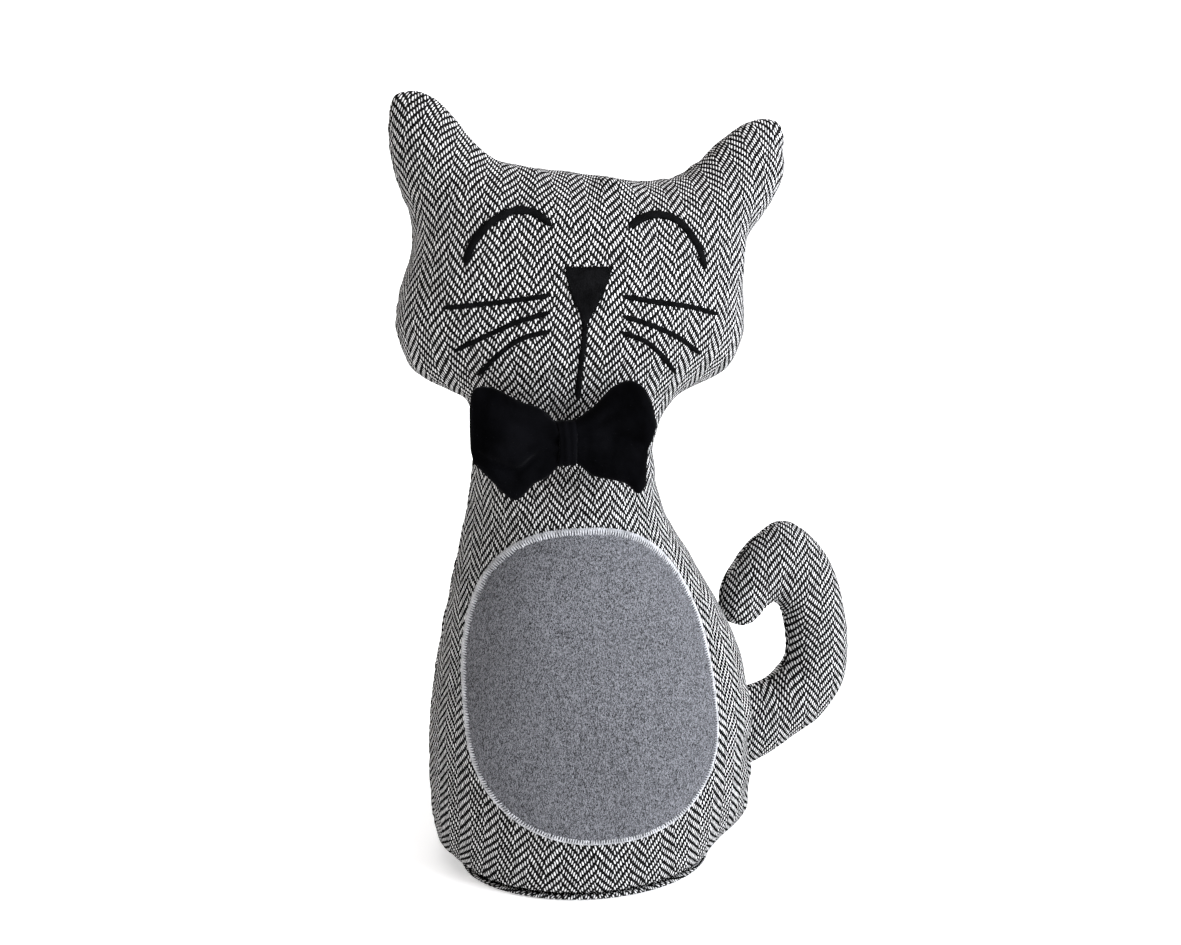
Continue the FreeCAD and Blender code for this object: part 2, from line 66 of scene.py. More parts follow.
# Left side of the body and head from the hem up to the widest point of the ear
LEFT_SIDE = [
    (-63.5, 2.2), (-70.6, 6.8), (-73.8, 14.0), (-75.4, 31.0), (-75.8, 56.0), (-74.4, 76.0),
    (-71.2, 96.0),
    (-66.8, 118.0), (-62.0, 141.0), (-58.0, 160.0), (-54.9, 177.0), (-53.0, 193.0),
    (-53.0, 206.0), (-56.8, 215.8), (-66.5, 220.6), (-78.0, 227.2), (-83.5, 236.5),
    (-86.0, 249.0), (-84.0, 262.0), (-80.1, 273.5), (-77.8, 284.0), (-79.2, 295.5),
    (-83.2, 306.5), (-86.0, 318.0), (-86.7, 326.0),
]
# Over the left ear, the top of the head and the right ear
TOP_EDGE = [
    (-86.7, 326.0), (-86.8, 335.6), (-84.6, 342.6), (-78.6, 345.9), (-71.2, 344.6),
    (-64.4, 340.4), (-57.8, 333.2), (-52.2, 325.4), (-46.0, 319.5), (-38.0, 316.3),
    (-26.0, 314.6), (-8.0, 312.4), (10.0, 310.3), (25.0, 309.6), (35.0, 310.8),
    (43.0, 314.0), (51.0, 320.2), (58.5, 327.2), (66.0, 333.0), (73.0, 336.4),
    (79.5, 337.2), (85.0, 335.2), (87.6, 328.6), (87.9, 320.0),
]
# Down the right side to the hem
RIGHT_SIDE = [
    (87.9, 320.0), (86.6, 311.0), (82.6, 302.0), (75.8, 292.8), (70.0, 285.6), (66.6, 278.0),
    (67.0, 268.0), (69.2, 256.0), (69.0, 245.5), (66.6, 236.8), (62.6, 228.6), (55.5, 222.3),
    (45.8, 218.2), (37.0, 214.0), (31.2, 208.0), (28.4, 199.0), (27.8, 188.0), (29.8, 175.0),
    (34.4, 160.0), (42.0, 147.2), (49.9, 133.6), (57.4, 120.4), (64.2, 108.2), (69.8, 96.6),
    (73.2, 84.0), (74.8, 69.0), (73.8, 50.0), (75.6, 31.0), (74.0, 15.5), (67.6, 6.2),
    (53.0, 2.2),
]
# Height, half depth front to back
DEPTHS = [
    (2.2, 54.8), (14.0, 57.0), (35.0, 57.4), (57.0, 56.6), (80.0, 54.6), (103.0, 51.0),
    (125.0, 46.6), (148.0, 42.0), (170.0, 38.0), (188.0, 35.2), (205.0, 34.8), (216.0, 38.0),
    (224.0, 41.0), (234.0, 43.6), (249.0, 45.2), (267.0, 45.0), (283.0, 42.4), (298.0, 35.5),
]
# Height, share of the depth kept above the level cut, as the ears flatten
EAR_SHARE = [(298.0, 1.0), (312.0, 0.88), (326.0, 0.72), (346.0, 0.66)]
# Height, power of the inflated profile: lower is boxier
PROFILE_POWER = [(4.0, 0.50), (180.0, 0.50), (225.0, 0.42), (285.0, 0.42), (298.0, 0.47)]

# Sections along the tail: outer x and z, inner x and z, middle y, half depth
TAIL = [
    (61.4, 31.0, 61.6, 43.0, 36.2, 2.4),
    (63.6, 24.0, 63.8, 51.0, 36.8, 6.4),
    (69.0, 18.4, 68.5, 56.2, 37.8, 9.8),
    (77.0, 16.6, 77.0, 57.2, 39.2, 12.0),
    (92.0, 17.2, 88.0, 57.6, 40.0, 12.8),
    (112.6, 28.4, 101.0, 61.0, 40.0, 13.2),
    (130.4, 41.4, 107.6, 67.2, 40.0, 13.4),
    (141.4, 59.0, 110.8, 73.0, 40.0, 13.4),
    (143.8, 78.0, 111.2, 81.0, 40.0, 13.4),
    (140.9, 97.0, 109.8, 90.2, 40.0, 13.2),
    (134.0, 120.0, 107.8, 97.4, 40.0, 13.0),
    (120.6, 138.0, 105.6, 101.2, 40.0, 12.8),
    (106.5, 144.6, 103.0, 102.6, 40.0, 12.4),
    (93.0, 137.2, 100.4, 101.6, 40.0, 11.8),
    (82.4, 124.8, 97.6, 99.2, 40.0, 11.2),
    (75.8, 112.6, 95.6, 96.4, 40.0, 10.2),
    (74.6, 101.6, 92.6, 93.4, 40.0, 8.6),
    (77.0, 95.4, 88.0, 91.6, 40.0, 5.6),
    (79.4, 93.4, 85.6, 91.6, 40.0, 2.6),
]

# ------------------------------------------------------------------ camera, light and floor


CAMERA_AZIMUTH, CAMERA_ELEVATION, CAMERA_DISTANCE = -11.0, 10.0, 0.560
CAMERA_TARGET = (0.0, 0.0, 0.180)
SENSOR_WIDTH, LENS = 36.0, 37.55
LIGHT_TARGET = (0.0, 0.0, 0.17)
WORLD_COLOUR, WORLD_STRENGTH = (1.0, 0.985, 0.965, 1.0), 0.15
# name, place, size, watts, colour
SOFTBOXES = [
    ("key", (1.10, -0.80, 0.75), (0.8, 0.8), 34.0, (0.91, 0.945, 1.0)),
    ("front", (0.25, -1.20, 0.10), (0.8, 0.5), 2.0, (0.70, 0.83, 1.0)),
    ("overhead", (0.05, -0.30, 1.25), (0.9, 0.9), 8.0, (1.0, 0.96, 0.955)),
    ("left", (-1.10, -0.30, 0.45), (0.6, 0.9), 1.2, (1.0, 0.86, 0.72)),
]
FLOOR_HALF, WALL_Y, WALL_BEND, WALL_TOP, BEND_STEPS = 4.0, 1.7, 0.9, 4.0, 16


def look_from(azimuth, elevation, distance, target):
    """A point on a sphere round the target: azimuth 0 is in front, 90 is on the right."""
    a, e = math.radians(azimuth), math.radians(elevation)
    offset = Vector((math.sin(a) * math.cos(e), -math.cos(a) * math.cos(e), math.sin(e)))
    return Vector(target) + offset * distance


def add_aimed(name, data, place, target):
    obj = bpy.data.objects.new(name, data)
    bpy.context.scene.collection.objects.link(obj)
    obj.location = place
    direction = Vector(target) - obj.location
    obj.rotation_euler = direction.to_track_quat("-Z", "Y").to_euler()
    return obj


def add_camera():
    data = bpy.data.cameras.new("camera")
    data.sensor_width = SENSOR_WIDTH
    data.lens = LENS
    place = look_from(CAMERA_AZIMUTH, CAMERA_ELEVATION, CAMERA_DISTANCE, CAMERA_TARGET)
    bpy.context.scene.camera = add_aimed("camera", data, place, CAMERA_TARGET)


def add_lights():
    world = bpy.data.worlds.new("studio")
    bpy.context.scene.world = world
    world.use_nodes = True
    background = world.node_tree.nodes["Background"]
    background.inputs["Color"].default_value = WORLD_COLOUR
    background.inputs["Strength"].default_value = WORLD_STRENGTH
    for name, place, size, power, colour in SOFTBOXES:
        data = bpy.data.lights.new(name, "AREA")
        data.shape = "RECTANGLE"
        data.size, data.size_y = size
        data.energy = power
        data.color = colour
        add_aimed(name, data, place, LIGHT_TARGET)
    bpy.context.scene.view_settings.view_transform = "Standard"


def add_floor():
    """A pale floor that sweeps up into a lit wall behind."""
    profile = [(-FLOOR_HALF, 0.0), (WALL_Y, 0.0)]
    for step in range(1, BEND_STEPS + 1):
        turn = math.pi / 2 * step / BEND_STEPS
        profile.append((WALL_Y + WALL_BEND * math.sin(turn), WALL_BEND * (1 - math.cos(turn))))
    profile.append((WALL_Y + WALL_BEND, WALL_TOP))
    verts = [(x / MM, y / MM, z / MM) for y, z in profile for x in (-FLOOR_HALF, FLOOR_HALF)]
    faces = quads(len(profile), 2, closed=False)
    floor = link_mesh("floor", verts, faces, floor_material())


# ------------------------------------------------------------------ node graphs


class Graph:
    """A few short calls for building a material's node tree."""

    def __init__(self, name):
        self.material = bpy.data.materials.new(name)
        self.material.use_nodes = True
        self.tree = self.material.node_tree
        self.shader = self.tree.nodes["Principled BSDF"]

    def add(self, kind, **settings):
        node = self.tree.nodes.new(kind)
        for key, value in settings.items():
            setattr(node, key, value)
        return node

    def wire(self, value, socket):
        if isinstance(value, bpy.types.NodeSocket):
            self.tree.links.new(value, socket)
        elif value is not None:
            socket.default_value = value

    def math(self, operation, first, second=None, third=None):
        node = self.add("ShaderNodeMath", operation=operation)
        for socket, value in zip(node.inputs, (first, second, third)):
            self.wire(value, socket)
        return node.outputs[0]

    def plus(self, first, second):
        return self.math("ADD", first, second)

    def minus(self, first, second):
        return self.math("SUBTRACT", first, second)

    def times(self, first, second):
        return self.math("MULTIPLY", first, second)

    def mix(self, share, first, second, kind="RGBA"):
        node = self.add("ShaderNodeMix", data_type=kind)
        self.wire(share, node.inputs["Factor"])
        self.wire(first, node.inputs["A"])
        self.wire(second, node.inputs["B"])
        return node.outputs["Result"]

    def spread(self, value, low, high, new_low=0.0, new_high=1.0):
        node = self.add("ShaderNodeMapRange")
        for socket, number in zip(node.inputs, (value, low, high, new_low, new_high)):
            self.wire(number, socket)
        return node.outputs["Result"]

    def noise(self, vector, scale, detail=2.0, roughness=0.5):
        node = self.add("ShaderNodeTexNoise")
        self.wire(vector, node.inputs["Vector"])
        node.inputs["Scale"].default_value = scale
        node.inputs["Detail"].default_value = detail
        node.inputs["Roughness"].default_value = roughness
        return node.outputs["Fac"]

    def stretched(self, vector, scale, turn=(0.0, 0.0, 0.0)):
        node = self.add("ShaderNodeMapping")
        self.wire(vector, node.inputs["Vector"])
        node.inputs["Scale"].default_value = scale
        node.inputs["Rotation"].default_value = turn
        return node.outputs["Vector"]

    def place(self):
        return self.add("ShaderNodeTexCoord").outputs["Object"]

    def parts(self, kind, value):
        node = self.add(kind)
        self.wire(value, node.inputs[0])
        return node.outputs

    def bump(self, height, distance, strength):
        node = self.add("ShaderNodeBump")
        node.inputs["Strength"].default_value = strength
        node.inputs["Distance"].default_value = distance
        self.wire(height, node.inputs["Height"])
        return node.outputs["Normal"]

    def finish(self, colour, roughness, normal=None, **constants):
        self.wire(colour, self.shader.inputs["Base Color"])
        self.wire(roughness, self.shader.inputs["Roughness"])
        self.wire(normal, self.shader.inputs["Normal"])
        for key, value in constants.items():
            self.shader.inputs[key.replace("_", " ")].default_value = value
        return self.material


def grey(value, tint=(1.0, 1.0, 1.0)):
    return (value * tint[0], value * tint[1], value * tint[2], 1.0)


def floor_material():
    g = Graph("pale_floor")
    place = g.place()
    cloudy = g.noise(place, 1.5)
    colour = g.mix(g.spread(cloudy, 0.3, 0.7), grey(0.88), grey(0.91))
    away = g.add("ShaderNodeVectorMath", operation="LENGTH")
    g.wire(place, away.inputs[0])
    # Glows from within away from the toy, so the room fades to white; the weaker glow near the toy
    # is a painted soft contact shadow
    glow_and_painted_shadow = g.spread(away.outputs["Value"], 0.10, 0.50, 0.42, 0.95)
    g.wire(glow_and_painted_shadow, g.shader.inputs["Emission Strength"])
    return g.finish(colour, 0.7, Emission_Color=(1.0, 1.0, 1.0, 1.0))


# ------------------------------------------------------------------ materials

WARP_PITCH = 0.886
WEFT_PITCH = 1.035
ENDS_PER_COLUMN = 8
WEAVE_MAP = "Weave"


def tweed_material():
    """Two-and-two herringbone twill: pale warp and black weft, drawn yarn by yarn."""
    g = Graph("herringbone_tweed")
    uv = g.add("ShaderNodeUVMap", uv_map=WEAVE_MAP).outputs["UV"]
    place = g.place()
    wander_u = g.minus(g.noise(uv, 0.045, 1.0), 0.5)
    wander_v = g.minus(g.noise(uv, 0.06, 1.0), 0.5)
    split = g.parts("ShaderNodeSeparateXYZ", uv)
    fine_u = g.minus(g.noise(uv, 0.55, 2.0), 0.5)
    fine_v = g.minus(g.noise(g.stretched(uv, (1.3, 1.0, 1.0)), 0.6, 2.0), 0.5)
    u = g.plus(split["X"], g.times(wander_u, 2.0))
    u = g.plus(u, g.times(fine_u, 0.60))
    v = g.plus(split["Y"], g.times(wander_v, 2.5))
    v = g.plus(v, g.times(fine_v, 0.80))

    ends = g.math("DIVIDE", u, WARP_PITCH)
    picks = g.math("DIVIDE", v, WEFT_PITCH)
    end = g.math("FLOOR", ends)
    pick = g.math("FLOOR", picks)
    across = g.math("FRACT", ends)
    along = g.math("FRACT", picks)
    column = g.math("FLOOR", g.math("DIVIDE", end, ENDS_PER_COLUMN))
    odd = g.math("FLOORED_MODULO", column, 2.0)
    lean = g.minus(g.times(odd, 2.0), 1.0)
    step = g.math("MULTIPLY_ADD", end, lean, pick)
    step = g.math("MULTIPLY_ADD", odd, 3.0, step)
    phase = g.math("FLOORED_MODULO", step, 4.0)
    warp_up = g.math("LESS_THAN", phase, 1.5)

    # How far along its float each yarn is, from 0 to 1
    warp_run = g.math("DIVIDE", g.plus(phase, along), 2.0)
    facing = g.math("GREATER_THAN", lean, 0.0)
    weft_across = g.mix(facing, g.minus(1.0, across), across, "FLOAT")
    weft_run = g.math("DIVIDE", g.plus(g.minus(phase, 2.0), weft_across), 2.0)

    # Each float of pale yarn has a width, a length and a tone of its own
    float_of = g.math("FLOOR", g.math("DIVIDE", step, 4.0))
    seat = g.add("ShaderNodeCombineXYZ")
    g.wire(end, seat.inputs["X"])
    g.wire(float_of, seat.inputs["Y"])
    chance = g.add("ShaderNodeTexWhiteNoise", noise_dimensions="2D")
    g.wire(seat.outputs[0], chance.inputs["Vector"])
    luck = g.parts("ShaderNodeSeparateColor", chance.outputs["Color"])
    tilt = g.times(g.minus(warp_run, 0.5), g.times(lean, 0.50))
    centre = g.plus(0.5, tilt)
    centre = g.plus(centre, g.spread(luck[0], 0.0, 1.0, -0.11, 0.11))
    off_centre = g.math("ABSOLUTE", g.minus(across, centre))
    off_middle = g.math("ABSOLUTE", g.math("MULTIPLY_ADD", warp_run, 2.12, -1.06))
    ends_in = g.minus(1.0, g.math("POWER", off_middle, 4.0))
    half_width = g.spread(luck[1], 0.0, 1.0, 0.27, 0.43)
    half_width = g.times(half_width, g.math("POWER", g.math("MAXIMUM", ends_in, 0.0), 0.5))
    inside = g.minus(half_width, off_centre)

    def crown(value, power):
        centred = g.math("ABSOLUTE", g.math("MULTIPLY_ADD", value, 2.0, -1.0))
        return g.minus(1.0, g.math("POWER", centred, power))

    warp_height = g.times(g.spread(inside, -0.05, 0.30), warp_up)
    weft_height = g.times(crown(along, 2.4), crown(weft_run, 3.5))
    height = g.math("MAXIMUM", g.times(weft_height, 0.55), warp_height)

    fibre = g.noise(g.stretched(uv, (5.5, 2.2, 1.0), (0.0, 0.0, 0.5)), 1.0, 3.0, 0.7)
    blotch = g.noise(place, 26.0, 2.0)
    pale = g.mix(
        g.spread(fibre, 0.30, 0.58), grey(0.60, (1.0, 0.985, 0.975)), grey(0.97, (1.0, 0.99, 0.985))
    )
    dull = g.spread(luck[2], 0.6, 1.0, 0.0, 0.6)
    pale = g.mix(dull, pale, grey(0.40, (1.0, 0.98, 0.96)))
    dark = g.mix(
        g.spread(fibre, 0.45, 0.80), grey(0.0006, (1.0, 0.98, 1.04)), grey(0.007, (1.0, 1.0, 1.05))
    )
    show = g.times(g.spread(inside, -0.05, 0.10), warp_up)
    fuzz = g.times(g.spread(fibre, 0.56, 0.74), 0.18)
    show = g.math("MINIMUM", g.plus(show, fuzz), 1.0)
    colour = g.mix(show, dark, pale)
    colour = g.mix(g.spread(blotch, 0.35, 0.7, 0.0, 0.03), colour, grey(0.06, (1.0, 0.98, 0.95)))

    relief = g.plus(height, g.times(fibre, 0.35))
    normal = g.bump(relief, 0.00030, 0.9)
    rough = g.spread(fibre, 0.3, 0.7, 0.78, 0.95)
    return g.finish(colour, rough, normal, Specular_IOR_Level=0.0)


def felt_material():
    """Grey melange felt: short matted fibres in light and dark greys."""
    g = Graph("melange_felt")
    place = g.place()
    matted = g.noise(place, 2900.0, 2.0, 0.6)
    long = (1.0, 1.0, 0.35)
    strands_a = g.noise(g.stretched(place, long, (0.0, 0.7, 0.0)), 2500.0, 2.0, 0.6)
    strands_b = g.noise(g.stretched(place, long, (0.0, -0.8, 0.0)), 2300.0, 2.0, 0.6)
    clumps = g.noise(place, 420.0, 2.0, 0.5)
    broad = g.noise(place, 30.0, 2.0)
    mixed = g.math("MULTIPLY_ADD", matted, 0.5, g.times(strands_a, 0.3))
    mixed = g.plus(mixed, g.times(strands_b, 0.2))
    mixed = g.math("MULTIPLY_ADD", g.minus(clumps, 0.5), 0.06, mixed)
    dark, light = grey(0.014, (1.0, 0.99, 1.02)), grey(0.255, (0.97, 0.98, 1.07))
    colour = g.mix(g.spread(mixed, 0.44, 0.58), dark, light)
    colour = g.mix(g.spread(broad, 0.35, 0.65, 0.0, 0.1), colour, grey(0.08, (0.97, 0.98, 1.05)))
    relief = g.plus(g.times(mixed, 0.7), g.times(clumps, 0.5))
    normal = g.bump(relief, 0.0004, 0.7)
    return g.finish(colour, 0.95, normal, Specular_IOR_Level=0.0)


def thread_material(name, low, high, tint, shine, sheen):
    """Twisted thread: fine diagonal plies along and across the stitch, with painted highlight and
    shade on the plies in its colour.
    """
    g = Graph(name)
    place = g.place()
    ply = g.noise(g.stretched(place, (1.0, 1.0, 2.6), (0.4, 0.6, 0.0)), 2200.0, 2.0, 0.6)
    tone = g.noise(place, 260.0, 2.0)
    mixed = g.plus(g.times(ply, 0.6), g.times(tone, 0.4))
    # Lighter and darker plies are painted highlight and shade along the twist; the broader tone
    # varies at random
    colour = g.mix(g.spread(mixed, 0.36, 0.64), grey(low, tint), grey(high, tint))
    normal = g.bump(ply, 0.00018, 0.8)
    return g.finish(
        colour, 0.65, normal, Specular_IOR_Level=shine, Sheen_Weight=sheen, Sheen_Roughness=0.4
    )


def velvet_material():
    """Black velvet: a short dense pile that catches light at its edges, with a painted sheen in its
    colour where it is brushed.
    """
    g = Graph("black_velvet")
    place = g.place()
    pile = g.noise(place, 2600.0, 2.0, 0.6)
    brushed = g.noise(g.stretched(place, (1.0, 1.0, 0.6)), 70.0, 3.0, 0.55)
    dark, light = grey(0.001, (1.0, 1.0, 1.15)), grey(0.003, (1.0, 1.0, 1.25))
    # Lighter where brushed: a painted sheen
    colour = g.mix(g.spread(brushed, 0.35, 0.70), dark, light)
    relief = g.plus(g.times(pile, 0.5), g.times(brushed, 0.6))
    normal = g.bump(relief, 0.0005, 0.6)
    rough = g.spread(brushed, 0.3, 0.7, 0.72, 0.95)
    return g.finish(
        colour, rough, normal,
        Specular_IOR_Level=0.0, Sheen_Weight=0.03, Sheen_Roughness=0.3,
    )


def fibre_material():
    g = Graph("white_fibre")
    place = g.place()
    strands = g.noise(g.stretched(place, (1.0, 0.3, 1.0), (0.5, 0.4, 0.2)), 700.0, 4.0, 0.7)
    colour = g.mix(g.spread(strands, 0.3, 0.7), grey(0.62), grey(0.9, (1.0, 1.0, 0.98)))
    return g.finish(colour, 0.9, g.bump(strands, 0.0015, 0.9), Sheen_Weight=0.3)


def calico_material():
    g = Graph("calico")
    place = g.place()
    bands = []
    for direction in ("X", "Z"):
        wave = g.add("ShaderNodeTexWave", wave_type="BANDS", bands_direction=direction)
        g.wire(place, wave.inputs["Vector"])
        wave.inputs["Scale"].default_value = 800.0
        bands.append(wave.outputs["Fac"])
    grid = g.times(*bands)
    slubs = g.noise(place, 300.0, 3.0)
    dark, light = grey(0.58, (1.0, 0.93, 0.80)), grey(0.78, (1.0, 0.95, 0.85))
    colour = g.mix(g.spread(slubs, 0.3, 0.7), dark, light)
    return g.finish(colour, 0.9, g.bump(grid, 0.0003, 0.7))


def sand_material():
    g = Graph("dry_sand")
    grains = g.add("ShaderNodeTexVoronoi")
    g.wire(g.place(), grains.inputs["Vector"])
    grains.inputs["Scale"].default_value = 1400.0
    tone = g.spread(g.noise(g.place(), 900.0), 0.3, 0.7)
    colour = g.mix(tone, grey(0.40, (1.0, 0.82, 0.58)), grey(0.72, (1.0, 0.88, 0.68)))
    return g.finish(colour, 0.85, g.bump(grains.outputs["Distance"], 0.0006, 0.9))


# ------------------------------------------------------------------ curves and meshes


def smooth_line(points, steps=8):
    """A Catmull-Rom curve through the points, with the same number of steps on each stretch."""
    p = np.asarray(points, float)
    ext = np.vstack([2 * p[0] - p[1], p, 2 * p[-1] - p[-2]])
    share = np.linspace(0, 1, steps, endpoint=False)[:, None]
    rows = []
    for i in range(len(p) - 1):
        a, b, c, d = ext[i], ext[i + 1], ext[i + 2], ext[i + 3]
        rows.append(
            0.5 * (2 * b + (c - a) * share + (2 * a - 5 * b + 4 * c - d) * share**2
                   + (3 * b - a - 3 * c + d) * share**3)
        )
    rows.append(p[-1:])
    return np.vstack(rows)


def link_mesh(name, verts, faces, material=None):
    """A new object from millimetre points."""
    mesh = bpy.data.meshes.new(name)
    mesh.from_pydata([tuple(v) for v in np.asarray(verts) * MM], [], faces)
    mesh.update()
    obj = bpy.data.objects.new(name, mesh)
    bpy.context.scene.collection.objects.link(obj)
    if material is not None:
        mesh.materials.append(material)
    mesh.polygons.foreach_set("use_smooth", [True] * len(mesh.polygons))
    return obj


def points_of(obj):
    """The vertices in millimetres."""
    flat = np.empty(len(obj.data.vertices) * 3)
    obj.data.vertices.foreach_get("co", flat)
    return flat.reshape(-1, 3) / MM


def normals_of(obj):
    flat = np.empty(len(obj.data.vertices) * 3)
    obj.data.vertices.foreach_get("normal", flat)
    return flat.reshape(-1, 3)


def set_points(obj, points):
    obj.data.vertices.foreach_set("co", (np.asarray(points) * MM).ravel())
    obj.data.update()


def apply_modifiers(obj):
    depsgraph = bpy.context.evaluated_depsgraph_get()
    depsgraph.update()
    made = bpy.data.meshes.new_from_object(obj.evaluated_get(depsgraph))
    obj.modifiers.clear()
    old = obj.data
    obj.data = made
    if old.users == 0:
        bpy.data.meshes.remove(old)
    return obj


def remesh(obj, voxel):
    """Union of the object's closed shells as even quads of about one voxel."""
    modifier = obj.modifiers.new("even", "REMESH")
    modifier.mode = "VOXEL"
    modifier.voxel_size = voxel * MM
    return apply_modifiers(obj)


def relax(obj, factor, repeat):
    modifier = obj.modifiers.new("relax", "SMOOTH")
    modifier.factor = factor
    modifier.iterations = repeat
    return apply_modifiers(obj)


def quads(rows, around, start=0, closed=True):
    """Faces between neighbouring rows of vertices, each row a ring or an open line."""
    faces = []
    for i in range(rows - 1):
        for j in range(around if closed else around - 1):
            k = (j + 1) % around
            a = start + i * around
            b = a + around
            faces.append((a + j, a + k, b + k, b + j))
    return faces


def fan(start, around, middle, flip=False):
    """Triangles from a ring of vertices to one vertex in its middle."""
    faces = []
    for j in range(around):
        corner = (start + j, start + (j + 1) % around, middle)
        faces.append(corner[::-1] if flip else corner)
    return faces


def tube_through(rings):
    """Quads between closed rings, with a fan over each end."""
    rings = np.asarray(rings, float)
    count, around = rings.shape[:2]
    last = (count - 1) * around
    middle = count * around
    verts = np.vstack([rings.reshape(-1, 3), rings[0].mean(axis=0), rings[-1].mean(axis=0)])
    faces = quads(count, around) + fan(0, around, middle, flip=True)
    return verts, faces + fan(last, around, middle + 1)


def dress(obj, key):
    """Give a piece one material and a smooth surface."""
    obj.data.materials.clear()
    obj.data.materials.append(MATERIALS[key])
    obj.data.polygons.foreach_set("use_smooth", [True] * len(obj.data.polygons))


def thicken(obj, thickness, offset=-1.0):
    """Give a cloth panel its real thickness as one closed shell: inwards, or outwards for 1.0."""
    modifier = obj.modifiers.new("cloth", "SOLIDIFY")
    modifier.thickness = thickness * MM
    modifier.offset = offset
    modifier.use_even_offset = False
    modifier.use_rim = True
    return apply_modifiers(obj)


def remove(*objects):
    for obj in objects:
        bpy.data.objects.remove(obj, do_unlink=True)


def ripples(points, scale, seed):
    """Smooth noise from -1 to 1 at each point: a sum of a few slanted sine waves."""
    rng = np.random.default_rng(seed)
    total = np.zeros(len(points))
    waves = 9
    for _ in range(waves):
        direction = rng.normal(size=3)
        direction /= np.linalg.norm(direction)
        length = scale * rng.uniform(0.7, 1.5)
        phase = rng.uniform(0, 2 * math.pi)
        total += np.sin(points @ direction * (2 * math.pi / length) + phase)
    return total / math.sqrt(waves)


# ------------------------------------------------------------------ the inflated body


